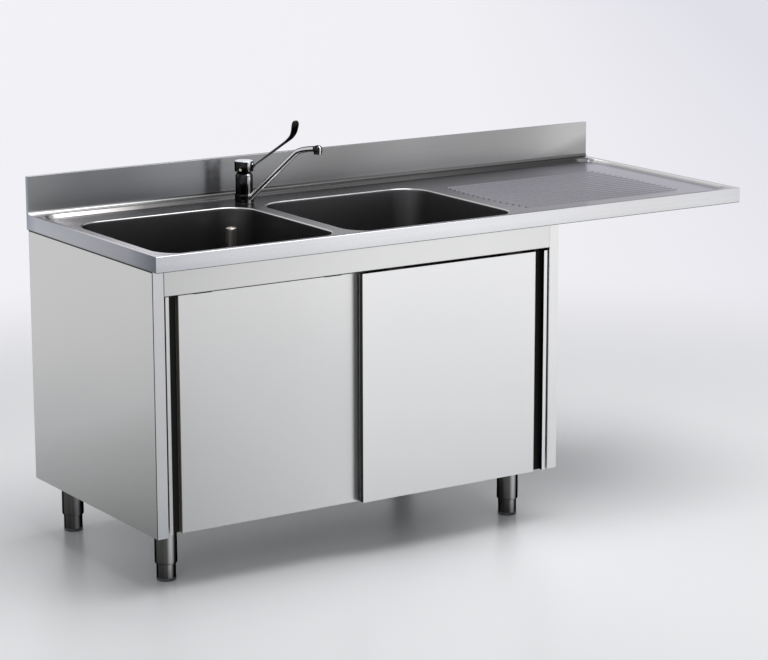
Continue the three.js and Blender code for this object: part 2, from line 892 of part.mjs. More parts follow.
function tapSeal() {
  return ring(tapShankRadius + seatGap, tapBaseRadius, 0, sealThickness)
}

// Body with its threaded shank, base flange, spout bearing, and bore for the cartridge.
function tapBody() {
  const body = turned([
    [0, -tapShankLength],
    [tapShankRadius, -tapShankLength],
    [tapShankRadius, sealThickness],
    [tapBaseRadius, sealThickness],
    [tapBaseRadius, sealThickness + baseFlange - 0.4],
    [tapBaseRadius - 0.6, sealThickness + baseFlange],
    [tapNeckRadius, sealThickness + baseFlange],
    [tapNeckRadius, collarTop + turnGap],
    [tapBodyRadius - 0.5, collarTop + turnGap],
    [tapBodyRadius, collarTop + turnGap + 0.5],
    [tapBodyRadius, tapBodyTop - 0.5],
    [tapBodyRadius - 0.5, tapBodyTop],
    [cartridgeBore, tapBodyTop],
    [cartridgeBore, cartridgeFloor],
    [0, cartridgeFloor],
  ])
  const inlet = rod(tapInletRadius, -tapShankLength - 1, tapInletDepth - tapShankLength, 16)
  const inlets = [-1, 1].map((s) => inlet.translate([(s * tapInletSpacing) / 2, 0, 0]))
  return body.subtract(joined(inlets))
}

// Flanged hexagon back nut that clamps the tap up against the deck.
function tapNut() {
  const top = -worktopSheet
  const flange = rod(tapNutFlange, top - tapNutFlangeThickness, top)
  const hexagon = rod(tapNutRadius, top - tapNutHeight, top, 6)
  return flange.add(hexagon).subtract(rod(tapShankRadius + seatGap, top - 2 * tapNutHeight, top + 1))
}

// Swivel spout: bearing collar, straight rising tube, eased bend and outlet head.
function spout() {
  const at = ([r, z]) => new THREE.Vector3(r, 0, z)
  const path = new THREE.CurvePath()
  path.add(new THREE.LineCurve3(at(spoutRoot), at(spoutBendStart)))
  path.add(new THREE.QuadraticBezierCurve3(at(spoutBendStart), at(spoutBendHandle), at(spoutEnd)))
  const section = new THREE.Shape().absarc(0, 0, spoutRadius, 0, 2 * Math.PI)
  const tube = solid(new THREE.ExtrudeGeometry(section, { steps: 12, curveSegments: 6, extrudePath: path }))
  const edge = 0.6
  const collar = turned([
    [tapNeckRadius - 2, collarBottom],
    [tapBaseRadius - edge, collarBottom],
    [tapBaseRadius, collarBottom + edge],
    [tapBaseRadius, collarTop - edge],
    [tapBaseRadius - edge, collarTop],
    [tapNeckRadius - 2, collarTop],
    [tapNeckRadius - 2, collarBottom],
  ])
  const dome = 5
  const head = turned([
    [0, spoutHeadBottom],
    [spoutHeadRadius - 0.4, spoutHeadBottom],
    [spoutHeadRadius, spoutHeadTop - dome],
    [spoutHeadRadius * 0.9, spoutHeadTop - dome * 0.45],
    [spoutHeadRadius * 0.6, spoutHeadTop - dome * 0.1],
    [0, spoutHeadTop],
  ]).translate([spoutEnd[0], 0, 0])
  const bearing = rod(tapNeckRadius + turnGap, collarBottom - 1, collarTop + 1)
  const bodyRoom = rod(tapBodyRadius + turnGap, collarTop, tapBodyTop)
  const aeratorSeat = rod(spoutHeadRadius, spoutHeadBottom - aeratorHeight, spoutHeadBottom)
  return joined([tube, collar, head])
    .subtract(joined([bearing, bodyRoom, aeratorSeat.translate([spoutEnd[0], 0, 0])]))
}

function aerator() {
  const top = spoutHeadBottom
  const bottom = top - aeratorHeight
  return turned([
    [0, bottom + 2.5],
    [aeratorRadius - 3, bottom + 2.5],
    [aeratorRadius - 2.4, bottom],
    [aeratorRadius - 0.7, bottom],
    [aeratorRadius, bottom + 1],
    [aeratorRadius, top],
    [0, top],
  ]).translate([spoutEnd[0], 0, 0])
}

// Domed ring that holds the cartridge down.
function cartridgeCover() {
  const bottom = tapBodyTop
  const arc = [0, 1, 2, 3, 4].map((k) => {
    const a = (k * Math.PI) / 8
    return [
      coverTopRadius + (tapBodyRadius - coverTopRadius) * Math.cos(a),
      bottom + coverHeight - coverDome + coverDome * Math.sin(a),
    ]
  })
  const inner = [[cartridgeBore, bottom + coverHeight], [cartridgeBore, bottom]]
  return turned([[cartridgeBore, bottom], [tapBodyRadius, bottom], ...arc, ...inner])
}

// Rotating carrier with the slot that the stem rocks in.
function cartridgeCarrier() {
  const radius = cartridgeBore - turnGap
  const top = tapBodyTop + coverHeight - 2
  const slot = block(-13.5, 8.5, -stemRadius - 1, stemRadius + 1, stemBottom - 3, top + 1)
  return rod(radius, cartridgeFloor + turnGap, top).subtract(slot)
}

function stem() {
  return rod(stemRadius, stemBottom, capTop - capRoof - seatGap, 20)
}

function leverAxis(distance) {
  const slope = THREE.MathUtils.degToRad(leverSlope)
  return [leverSocketStart + distance * Math.cos(slope), leverSocketHeight + distance * Math.sin(slope)]
}

function alongLever(radius, from, to) {
  const [x, z] = leverAxis(0)
  return rod(radius, from, to, 24).rotate([0, 90 - leverSlope, 0]).translate([x, 0, z])
}

// Hollow cap with a rounded crown, a socket for the lever and a shallow seat for the index dot.
function leverCap() {
  const inner = tapBaseRadius - capWall
  const cap = turned([
    [inner, capBottom],
    [tapBaseRadius - 0.4, capBottom],
    [tapBaseRadius, capBottom + 0.6],
    [tapBaseRadius, capTop - capEdge],
    [tapBaseRadius - capEdge * 0.35, capTop - capEdge * 0.5],
    [tapBaseRadius - capEdge * 1.2, capTop - capEdge * 0.12],
    [0, capTop],
    [0, capTop - capRoof],
    [inner, capTop - capRoof],
    [inner, capBottom],
  ])
  const socket = alongLever(leverSocketRadius, 3, leverSocketEnd - leverSocketStart)
    .subtract(rod(inner, capBottom, capTop))
  const hole = alongLever(leverRodRadius + seatGap, 7, leverSocketEnd)
  const indexSeat = rod(indexRadius, tapBaseRadius - indexDepth, tapBaseRadius + 5, 20)
    .rotate([0, 90, 0]).translate([0, 0, indexHeight]).rotate([0, 0, indexAngle])
  return cap.add(socket).subtract(hole).subtract(indexSeat)
}

// Lever: a round rod that swells into an upturned elbow paddle.
function lever() {
  const startDistance = 7 + seatGap
  const [x, z] = leverAxis(startDistance)
  const sections = [[x, z, leverRodRadius, leverRodRadius, leverSlope], ...leverPaddle]
  const rings = sections.map(([cx, cz, half, thick, angle]) => {
    const tilt = THREE.MathUtils.degToRad(angle)
    return Array.from({ length: 16 }, (_, k) => {
      const a = (k * Math.PI) / 8
      const across = thick * Math.cos(a)
      const x1 = cx - across * Math.sin(tilt)
      return new THREE.Vector3(x1, half * Math.sin(a), cz + across * Math.cos(tilt))
    })
  })
  return loft(rings)
}

// ---------------------------------------------------------------- assembly

const unit = new THREE.Group()

function place(parent, name, body, finish) {
  const mesh = new THREE.Mesh(geometryOf(body), new THREE.MeshStandardMaterial(finish))
  mesh.name = name
  parent.add(mesh)
}

place(unit, 'worktop', worktop(), steel)
const sides = ['left', 'right']
sides.forEach((side, i) => {
  const [x, y] = drainPlace(i)
  const drain = new THREE.Group()
  drain.position.set(x, y, 0)
  unit.add(drain)
  place(unit, `${side}_bowl`, bowl(i), bowlSteel)
  place(drain, `${side}_drain_gasket`, drainGasket(), rubber)
  place(drain, `${side}_drain_body`, drainBody(), brightSteel)
  place(drain, `${side}_drain_nut`, drainNut(), nylon)
  if (side === 'left') {
    place(drain, 'standpipe', standpipe(), brightSteel)
    place(drain, 'standpipe_plug', standpipePlug(), rubber)
  }
})

place(unit, 'front_stiffener', frontStiffener(), zinc)
place(unit, 'rear_stiffener', rearStiffener(), zinc)
crossbarStarts.forEach((_, i) => place(unit, `crossbar_${i + 1}`, crossbar(i), zinc))

for (const side of sides) {
  place(unit, `${side}_side_panel`, sidePanel(side), steel)
  place(unit, `${side}_front_post`, frontPost(side), steel)
}
place(unit, 'back_panel', backPanel(), steel)
place(unit, 'bottom_shelf', bottomShelf(), steel)
place(unit, 'top_rail', topRail(), steel)
place(unit, 'door_track', doorTrack(), zinc)
place(unit, 'door_guide', doorGuide(), nylon)

const doors = [
  { name: 'right_door', toward: 1, end: rightDoorEnd, face: rightDoorFace, laneIndex: 0 },
  { name: 'left_door', toward: -1, end: leftDoorEnd, face: leftDoorFace, laneIndex: 1 },
]
for (const { name, toward, end, face, laneIndex } of doors) {
  place(unit, `${name}_skin`, doorSkin(toward, end, face), steel)
  place(unit, `${name}_inner_panel`, doorInnerPanel(toward, end, face), steel)
  hangerFromHandleEnd.forEach((_, i) => {
    const x = hangerPlace(toward, end, i)
    place(unit, `${name}_hanger_${i + 1}`, hanger(x, laneIndex), zinc)
    place(unit, `${name}_wheel_${i + 1}`, hangerWheel(x, laneIndex), nylon)
  })
}

const ends = ['front', 'rear']
footXs.forEach((x, i) => {
  place(unit, `${sides[i]}_foot_channel`, footChannel(x), zinc)
  footYs.forEach((y, j) => {
    const foot = new THREE.Group()
    foot.position.set(x, y, 0)
    unit.add(foot)
    const name = `${ends[j]}_${sides[i]}_foot`
    place(foot, `${name}_sleeve`, footSleeve(), brightSteel)
    place(foot, `${name}_tube`, footTube(), brightSteel)
    place(foot, `${name}_pad`, footPad(), rubber)
  })
})

const tap = new THREE.Group()
tap.position.set(tapX, tapY, deckTop)
unit.add(tap)
place(tap, 'tap_seal', tapSeal(), rubber)
place(tap, 'tap_body', tapBody(), chrome)
place(tap, 'tap_nut', tapNut(), zinc)
place(tap, 'cartridge_cover', cartridgeCover(), chrome)

const swivel = new THREE.Group()
swivel.rotation.z = THREE.MathUtils.degToRad(spoutAngle)
tap.add(swivel)
place(swivel, 'spout', spout(), chrome)
place(swivel, 'aerator', aerator(), chrome)

const handle = new THREE.Group()
handle.rotation.z = THREE.MathUtils.degToRad(leverAngle)
tap.add(handle)
place(handle, 'cartridge_carrier', cartridgeCarrier(), nylon)
place(handle, 'cartridge_stem', stem(), brightSteel)
place(handle, 'lever_cap', leverCap(), chrome)
place(handle, 'lever', lever(), chrome)

export default unit
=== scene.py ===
"""A stainless sink unit with two bowls, a drainer over an open machine bay and sliding doors."""
import functools
import math

import bmesh
import bpy
from mathutils import Matrix, Vector, geometry

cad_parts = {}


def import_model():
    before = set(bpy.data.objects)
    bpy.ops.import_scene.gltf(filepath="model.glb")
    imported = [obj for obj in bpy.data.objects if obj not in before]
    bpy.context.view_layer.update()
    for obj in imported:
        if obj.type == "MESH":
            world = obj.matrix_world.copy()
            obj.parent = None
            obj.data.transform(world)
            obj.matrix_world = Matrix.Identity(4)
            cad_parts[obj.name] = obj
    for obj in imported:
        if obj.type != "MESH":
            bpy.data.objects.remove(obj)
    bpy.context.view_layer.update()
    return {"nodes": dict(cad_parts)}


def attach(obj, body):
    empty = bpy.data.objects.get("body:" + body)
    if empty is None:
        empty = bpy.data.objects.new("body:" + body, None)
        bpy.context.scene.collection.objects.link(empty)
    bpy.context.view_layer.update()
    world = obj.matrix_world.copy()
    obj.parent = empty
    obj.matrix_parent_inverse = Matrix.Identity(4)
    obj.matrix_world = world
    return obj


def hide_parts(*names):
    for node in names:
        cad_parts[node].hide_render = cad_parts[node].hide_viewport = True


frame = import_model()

nodes = frame["nodes"]
MM = 0.001

# ---------------------------------------------------------------- sizes, millimetres

LEFT, RIGHT = -900, 900
FRONT, BACK = -350, 350
WORKTOP, APRON_BOTTOM, UPSTAND_TOP = 850, 810, 950
UPSTAND_FACE = 338
COVE = 8
TOP_SHEET, TOP_EDGE = 1.5, 1.8
RETURN_FLANGE = 15
DECK = 840
RECESS = (-888, 888, -334, 315)
RECESS_CORNER, RECESS_SLOPE = 55, 12

BOWL_X, BOWL_Y, BOWL_HALF = (-592.5, -49.5), -43, 250
BOWL_CORNER, BOWL_LIP, BOWL_SHEET = 75, 3.5, 1.2
BOWL_FLOOR, BOWL_DRAFT, BOWL_FILLET, BOWL_FLANGE = 540, 10, 12, 8
DRAIN_OFFSET, DRAIN_SEAT, DRAIN_SEAT_R, DRAIN_HOLE_R = 172, 535, 45.5, 27
DRAIN_X = (BOWL_X[0] + DRAIN_OFFSET, BOWL_X[1] - DRAIN_OFFSET)
DRAIN_Y = BOWL_Y + DRAIN_OFFSET

SIDE_RIM_X, REAR_RIM_Y = 874, 290

RIB_COUNT, RIB_PITCH, RIB_WIDTH, RIB_HEIGHT, RIB_SUNK = 16, 24.5, 14.5, 2.2, 0.4
RIB_START, RIB_END, RIB_START_BOW, RIB_END_BOW = 246, 787, 15, -7
RIB_MIDDLE_Y = -45.5

DOOR_BOTTOM, DOOR_TOP, DOOR_WIDTH, DOOR_DEPTH = 149, 741, 573.5, 14.8
FLANGE, CHANNEL, CHANNEL_DEPTH, CHANNEL_FOLD = 10, 24.5, 13.3, 7
GUIDE_SLOT_LENGTH, GUIDE_SLOT_DEPTH = (44, 571.1), (5.25, 10.75)

TAP_X, TAP_Y = -314, 242
COLLAR_RADIUS, COLLAR_TOP, OUTLET_REACH = 25, 25.15, 237
LEVER_SLOPE, INDEX_TURN, INDEX_HEIGHT = math.radians(34), math.radians(-82), 91
SPOUT_TURN, LEVER_TURN = math.radians(-66), math.radians(-62)
FEET = {"front_left": (-808, -198), "rear_left": (-808, 314),
        "front_right": (237, -198), "rear_right": (237, 314)}

# ---------------------------------------------------------------- camera


def place_camera():
    azimuth, elevation, roll = math.radians(-33.18), math.radians(12.53), math.radians(0.09)
    distance, focal_px, image_px = 7.0646, 2642.7, 768
    target = Vector((-0.023, 0.0101, 0.5004))
    back = Vector((math.sin(azimuth) * math.cos(elevation),
                   -math.cos(azimuth) * math.cos(elevation), math.sin(elevation)))
    right = Vector((0, 0, 1)).cross(back).normalized()
    up = back.cross(right)
    turned = Matrix((right, up, back)).transposed() @ Matrix.Rotation(-roll, 3, "Z")
    data = bpy.data.cameras.new("photo_camera")
    data.sensor_width = 36
    data.lens = focal_px / image_px * data.sensor_width
    data.clip_end = 200
    camera = bpy.data.objects.new("photo_camera", data)
    camera.matrix_world = turned.to_4x4()
    camera.matrix_world.translation = target + back * distance
    bpy.context.scene.collection.objects.link(camera)
    bpy.context.scene.camera = camera


place_camera()

# ---------------------------------------------------------------- mesh helpers


def new_object(name, bm, material, smooth_angle):
    mesh = bpy.data.meshes.new(name)
    bm.to_mesh(mesh)
    bm.free()
    mesh.materials.append(material)
    for face in mesh.polygons:
        face.use_smooth = True
    if smooth_angle:
        mesh.set_sharp_from_angle(angle=math.radians(smooth_angle))
    piece = bpy.data.objects.new(name, mesh)
    bpy.context.scene.collection.objects.link(piece)
    return piece


def settle(piece):
    """Turns the piece's modifiers into its own mesh."""
    graph = bpy.context.evaluated_depsgraph_get()
    made = bpy.data.meshes.new_from_object(piece.evaluated_get(graph))
    made.name = piece.name
    piece.modifiers.clear()
    piece.data = made
    return piece


def finish_piece(piece, body, slot, *replaced):
    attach(piece, body)
    if replaced:
        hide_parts(*replaced)


def rounded(corners, steps):
    """Closed outline from (a, b, radius) corners."""
    outline = []
    for i, (a, b, radius) in enumerate(corners):
        here = Vector((a, b))
        if not radius:
            outline.append(here)
            continue
        before = (Vector(corners[i - 1][:2]) - here).normalized()
        after = (Vector(corners[(i + 1) % len(corners)][:2]) - here).normalized()
        half = before.angle(after) / 2
        centre = here + (before + after).normalized() * (radius / math.sin(half))
        start = here + before * (radius / math.tan(half)) - centre
        end = here + after * (radius / math.tan(half)) - centre
        first = math.atan2(start.y, start.x)
        turn = (math.atan2(end.y, end.x) - first + math.pi) % (2 * math.pi) - math.pi
        for k in range(steps + 1):
            angle = first + turn * k / steps
            outline.append(centre + radius * Vector((math.cos(angle), math.sin(angle))))
    return outline


def frame_ring(x0, x1, y0, y1, radius, steps=12):
    return rounded([(x0, y0, radius), (x1, y0, radius), (x1, y1, radius), (x0, y1, radius)], steps)


def circle(x, y, radius, count):
    return [Vector((x + radius * c, y + radius * s)) for c, s in turns(count)]


def turns(count):
    """Cosine and sine of equal steps round a circle."""
    angles = [2 * math.pi * k / count for k in range(count)]
    return [(math.cos(a), math.sin(a)) for a in angles]


def box(x0, x1, y0, y1):
    return [Vector(p) for p in ((x0, y0), (x1, y0), (x1, y1), (x0, y1))]


def quarter(steps):
    """Equal steps through a quarter turn."""
    return [math.pi / 2 * k / steps for k in range(steps + 1)]


def at_height(outline, z):
    return [Vector((p.x, p.y, z)) for p in outline]


def add_rings(bm, rings):
    """Joins closed rings of equal count with quads."""
    rows = [[bm.verts.new(Vector(p) * MM) for p in ring] for ring in rings]
    count = len(rows[0])
    for low, high in zip(rows, rows[1:]):
        for i in range(count):
            j = (i + 1) % count
            bm.faces.new((low[i], low[j], high[j], high[i]))
    return rows


def add_bar(bm, rings):
    """Joins the rings and closes both ends."""
    rows = add_rings(bm, rings)
    for row in (rows[0], rows[-1]):
        bm.faces.new(row)


def add_flat(bm, outer, holes, z):
    """Fills an outline that has holes, at a height."""
    loops = [outer, *holes]
    points = [Vector(p) for loop in loops for p in loop]
    edges = []
    start = 0
    for loop in loops:
        edges += [(start + i, start + (i + 1) % len(loop)) for i in range(len(loop))]
        start += len(loop)
    made = geometry.delaunay_2d_cdt(points, edges, [], 2 if not holes else 4, 1e-5)
    verts = [bm.verts.new(Vector((p[0], p[1], z)) * MM) for p in made[0]]
    for face in made[2]:
        centre = sum((made[0][i] for i in face), Vector((0, 0))) / len(face)
        if inside(centre, outer) and not any(inside(centre, hole) for hole in holes):
            bm.faces.new([verts[i] for i in face])


def inside(point, loop):
    hit = False
    for a, b in zip(loop, loop[1:] + loop[:1]):
        if (a[1] > point[1]) != (b[1] > point[1]):
            cross = a[0] + (point[1] - a[1]) * (b[0] - a[0]) / (b[1] - a[1])
            hit ^= point[0] < cross
    return hit


def weld(bm):
    bmesh.ops.remove_doubles(bm, verts=bm.verts, dist=2e-6)
    loose = [v for v in bm.verts if not v.link_faces]
    bmesh.ops.delete(bm, geom=loose, context="VERTS")
    bmesh.ops.recalc_face_normals(bm, faces=bm.faces)


def add_turned(bm, profile, x=0, y=0, count=72):
    """A profile of (radius, height) points turned about an upright axis."""
    add_rings(bm, [at_height(circle(x, y, radius, count), z) for radius, z in profile])


def eased(profile):
    """Rounds the corners of a closed profile given as (radius, height, rounding)."""
    points = [(p.x, p.y) for p in rounded(profile, 4)]
    return points + points[:1]


def turned_piece(name, profile, material, x, y, count=72):
    bm = bmesh.new()
    add_turned(bm, profile, x, y, count)
    weld(bm)
    return new_object(name, bm, material, 32)


def facing(bm, direction, test):
    """Turns all faces over if those that pass the test look away from the direction."""
    total = sum(f.normal.dot(direction) * f.calc_area() for f in bm.faces if test(f))
    if total < 0:
        bmesh.ops.reverse_faces(bm, faces=bm.faces)


def put_on_tap(bm, turn):
    """Turns what was built round the origin and moves it to the foot of the tap."""
    place = Matrix.Translation(Vector((TAP_X, TAP_Y, DECK)) * MM) @ Matrix.Rotation(turn, 4, "Z")
    bmesh.ops.transform(bm, matrix=place, verts=bm.verts)


def thickened(piece, thickness, bevel=0.0):
    """Rounds the sharp edges of a sheet, then gives it its thickness behind the shown side."""
    if bevel:
        edge = piece.modifiers.new("edge", "BEVEL")
        edge.width = bevel * MM
        edge.segments = 3
        edge.angle_limit = math.radians(60)
        edge.harden_normals = False
    sheet = piece.modifiers.new("sheet", "SOLIDIFY")
    sheet.thickness = thickness * MM
    sheet.offset = -1
    return settle(piece)


def smoothed(piece, angle):
    for face in piece.data.polygons:
        face.use_smooth = True
    piece.data.set_sharp_from_angle(angle=math.radians(angle))
    return piece


# ---------------------------------------------------------------- materials


def add(tree, kind, inputs=None, **settings):
    node = tree.nodes.new(kind)
    for key, value in settings.items():
        setattr(node, key, value)
    for key, value in (inputs or {}).items():
        if isinstance(value, bpy.types.NodeSocket):
            tree.links.new(value, node.inputs[key])
        else:
            node.inputs[key].default_value = value
    return node


def result(tree, kind, inputs=None, **settings):
    """The first output of a new node."""
    return add(tree, kind, inputs, **settings).outputs[0]


def colour(tone):
    return (*tone, 1) if isinstance(tone, tuple) else (tone, tone, tone, 1)


def ramp(tree, value, stops):
    node = add(tree, "ShaderNodeValToRGB", {"Fac": value})
    band = node.color_ramp
    while len(band.elements) < len(stops):
        band.elements.new(0.5)
    for element, (place, tone) in zip(band.elements, stops):
        element.position = place
        element.color = colour(tone)
    return node.outputs["Color"]


def tinted(tone, factor):
    if isinstance(tone, tuple):
        return tuple(min(1, t * factor) for t in tone)
    return min(1, tone * factor)


def noise(tree, place, scale, detail):
    return result(tree, "ShaderNodeTexNoise", {
        "Vector": place, "Scale": scale, "Detail": detail})


def new_material(name):
    material = bpy.data.materials.new(name)
    material.use_nodes = True
    tree = material.node_tree
    return material, tree, tree.nodes["Principled BSDF"]


def graded(tree, coords, fade):
    """A ramp along a direction, given as (direction, from, to, stops)."""
    direction, start, end, stops = fade
    along = add(tree, "ShaderNodeVectorMath", {0: coords, 1: direction}, operation="DOT_PRODUCT")
    place = add(tree, "ShaderNodeMapRange", {
        "Value": along.outputs["Value"], "From Min": start, "From Max": end})
    return ramp(tree, place.outputs[0], stops)


def blended(tree, kind, first, second):
    node = add(tree, "ShaderNodeMix", {"Factor": 1.0}, data_type="RGBA", blend_type=kind)
    tree.links.new(first, node.inputs["A"])
    tree.links.new(second, node.inputs["B"])
    return node.outputs["Result"]


def brushed(name, grain, rough, tone=None, fade=None, streak=0.05, bump=0.06, cloudy=0.06,
            stretch=0.0, around="Z", vary=0.12, shade=(), metal=1.0):
    """Brushed stainless steel. The grain gives the noise's scale along each axis. The tone is
    even or a fade along the piece that paints in reflections and shade, the lighter of two
    painted shades darkens it further, and the stretch draws highlights out across the grain."""
    material, tree, surface = new_material(name)
    coords = add(tree, "ShaderNodeTexCoord").outputs["Object"]
    mapped = result(tree, "ShaderNodeMapping", {"Vector": coords, "Scale": grain})
    fine = noise(tree, mapped, 1.0, 5.0)
    cloud = noise(tree, coords, 2.2, 1.0)
    grey = ramp(tree, fine, [(0.3, 1 - streak), (0.7, 1.0)])
    soft = ramp(tree, cloud, [(0.3, 1 - cloudy), (0.7, 1.0)])
    if fade:
        base = graded(tree, coords, fade)
    else:
        base = ramp(tree, cloud, [(0.3, tinted(tone, 0.98)), (0.7, tinted(tone, 1.03))])
    layers = [grey, soft]
    if shade:
        layers.append(blended(tree, "LIGHTEN", *(graded(tree, coords, one) for one in shade)))
    for layer in layers:
        base = blended(tree, "MULTIPLY", base, layer)
    tree.links.new(base, surface.inputs["Base Color"])
    rougher = add(tree, "ShaderNodeMapRange", {
        "Value": fine, "From Min": 0.3, "From Max": 0.7,
        "To Min": rough * (1 - vary), "To Max": rough * (1 + vary)})
    tree.links.new(rougher.outputs[0], surface.inputs["Roughness"])
    raised = add(tree, "ShaderNodeBump", {"Height": fine, "Strength": bump, "Distance": 0.0004})
    tree.links.new(raised.outputs[0], surface.inputs["Normal"])
    if stretch:
        along_grain = add(tree, "ShaderNodeTangent", direction_type="RADIAL", axis=around)
        tree.links.new(along_grain.outputs[0], surface.inputs["Tangent"])
        surface.inputs["Anisotropic"].default_value = stretch
        surface.inputs["Anisotropic Rotation"].default_value = 0.25
    surface.inputs["Metallic"].default_value = metal
    return material


def moulded(name, tone, rough):
    """Moulded rubber or plastic with a fine grain."""
    material, tree, surface = new_material(name)
    coords = add(tree, "ShaderNodeTexCoord").outputs["Object"]
    fine = noise(tree, coords, 900.0, 2.0)
    base = ramp(tree, fine, [(0.35, tinted(tone, 0.85)), (0.65, tinted(tone, 1.12))])
    tree.links.new(base, surface.inputs["Base Color"])
    raised = add(tree, "ShaderNodeBump", {"Height": fine, "Strength": 0.15, "Distance": 0.0003})
    tree.links.new(raised.outputs[0], surface.inputs["Normal"])
    surface.inputs["Roughness"].default_value = rough
    return material


def chrome(name, stops, first=(1, 0, 0), second=(0, 1, 0), rough=0.06, edge=0.12):
    """Polished chrome with painted reflections, darker and brighter by turns round the axis square
    to both directions.
    """
    material, tree, surface = new_material(name)
    coords = add(tree, "ShaderNodeTexCoord").outputs
    sides = [add(tree, "ShaderNodeVectorMath", {0: coords["Normal"], 1: direction},
                 operation="DOT_PRODUCT").outputs["Value"] for direction in (first, second)]
    flattened = result(tree, "ShaderNodeCombineXYZ", {"X": sides[0], "Y": sides[1]})
    around = add(tree, "ShaderNodeTexGradient", {"Vector": flattened},
                 gradient_type="RADIAL").outputs[1]
    soft = noise(tree, coords["Object"], 60.0, 2.0)
    tree.links.new(ramp(tree, around, stops), surface.inputs["Base Color"])
    polished = add(tree, "ShaderNodeMapRange", {
        "Value": soft, "To Min": rough * 0.7, "To Max": rough * 1.4})
    tree.links.new(polished.outputs[0], surface.inputs["Roughness"])
    surface.inputs["Metallic"].default_value = 1.0
    surface.inputs["Specular Tint"].default_value = (edge, edge, edge, 1)
    return material


ALONG_X, ALONG_Y, ALONG_Z = (2, 170, 170), (170, 2, 170), (170, 170, 2)
X_AXIS, Y_AXIS, Z_AXIS = (1, 0, 0), (0, 1, 0), (0, 0, 1)

# The worktop, bowl, door, panel, post, foot and tap finishes below are each one steel or chrome;
# their tones and fades paint in reflections, highlights and shade. Rim, rear rim, rear slope and
# cove: painted highlights towards the left end and painted shade further right, the front rim also
# lighter at its right end.
rim_steel = brushed("rim_steel", ALONG_X, 0.26, fade=(X_AXIS, -0.9, 0.9, [
    (0.0, (0.66, 0.65, 0.68)), (0.07, (0.28, 0.275, 0.3)), (0.2, (0.22, 0.22, 0.24)),
    (0.3, (0.1, 0.1, 0.12)), (0.93, (0.1, 0.1, 0.13)), (1.0, (0.4, 0.4, 0.46))]))
rear_rim_steel = brushed("rear_rim_steel", ALONG_X, 0.24, fade=(X_AXIS, -0.9, 0.9, [
    (0.0, 0.2), (0.04, (0.5, 0.48, 0.48)), (0.17, (0.53, 0.515, 0.505)), (0.23, (0.22, 0.21, 0.21)),
    (0.32, (0.16, 0.155, 0.15)), (0.38, 0.07), (0.44, 0.17), (0.65, 0.15), (0.8, 0.065),
    (0.88, 0.06), (1.0, 0.12)]))
rear_slope_steel = brushed("rear_slope_steel", ALONG_X, 0.24, fade=(X_AXIS, -0.9, 0.9, [
    (0.0, 0.25), (0.05, (0.5, 0.48, 0.473)), (0.12, (0.26, 0.245, 0.245)),
    (0.18, (0.07, 0.068, 0.066)), (0.25, 0.035), (0.45, 0.04), (0.65, 0.082), (0.85, 0.055),
    (0.975, 0.048)]))
cove_steel = brushed("cove_steel", ALONG_X, 0.24, fade=(X_AXIS, -0.9, 0.9, [
    (0.0, 0.6), (0.05, 0.42), (0.15, 0.3), (0.22, 0.12), (0.3, 0.045), (0.4, 0.06), (0.55, 0.13),
    (0.7, 0.17), (0.85, 0.15), (1.0, 0.13)]))
# Painted highlight: the side rims lighter at the left end, and the narrow bright stop near the
# right end paints a highlight line along the right rim.
side_rim_steel = brushed("side_rim_steel", ALONG_Y, 0.26, fade=(X_AXIS, -0.9, 0.9, [
    (0.0, (0.63, 0.62, 0.65)), (0.5, 0.3), (0.9865, 0.22), (0.9895, 0.35), (0.9925, 0.78),
    (0.9945, 0.33)]))
# Painted reflections and shade: the deck light at the left end and dark over the middle; the two
# shades paint a darker rear strip, where the deck mirrors the upstand, except at the left end.
deck_steel = brushed("deck_steel", ALONG_X, 0.26, streak=0.03, cloudy=0.08, bump=0.01, stretch=0.5,
                     around="Y", vary=0.04, fade=((1, 0.1, 0), -0.9, 0.9, [
                         (0.0, (0.86, 0.84, 0.87)), (0.03, (0.62, 0.6, 0.62)),
                         (0.08, (0.34, 0.33, 0.34)), (0.2, (0.165, 0.16, 0.17)),
                         (0.62, (0.175, 0.17, 0.19)), (0.84, (0.2, 0.198, 0.23)),
                         (1.0, (0.37, 0.36, 0.42))]),
                     shade=((X_AXIS, -0.72, -0.5, [(0.0, 1.0), (1.0, 0.0)]),
                            ((-0.1, 1, 0), 0.14, 0.26, [(0.0, 1.0), (0.6, 0.45), (1.0, 0.35)])))
# Lit and shaded copies of one rib steel: the shade steel paints shade, the end steel a painted
# highlight.
rib_steel = brushed("rib_steel", ALONG_X, 0.24, (0.26, 0.255, 0.285), streak=0.03, bump=0.01)
rib_shade_steel = brushed("rib_shade_steel", ALONG_X, 0.24, (0.09, 0.088, 0.1), streak=0.03,
                          bump=0.01)
rib_end_highlight_steel = brushed("rib_end_highlight_steel", ALONG_X, 0.3, (0.5, 0.49, 0.53), streak=0.03, bump=0.01,
                        metal=0.0)
# Painted reflections: the upstand lighter towards the right; the two shades paint shade over the
# lower part of its right end.
upstand_steel = brushed("upstand_steel", ALONG_X, 0.24, streak=0.03, bump=0.03, cloudy=0.3,
                        stretch=0.7, fade=(X_AXIS, -0.9, 0.9, [
                            (0.0, (0.26, 0.265, 0.27)), (0.2, (0.29, 0.295, 0.31)), (0.5, 0.37),
                            (0.75, 0.46), (0.9, 0.5), (1.0, 0.58)]),
                        shade=((X_AXIS, 0.6, 0.8, [(0.0, 1.0), (1.0, 0.0)]),
                               ((-0.3, 0, 1), 0.58, 0.7, [(0.0, 0.55), (0.35, 0.7), (0.6, 1.0)])))
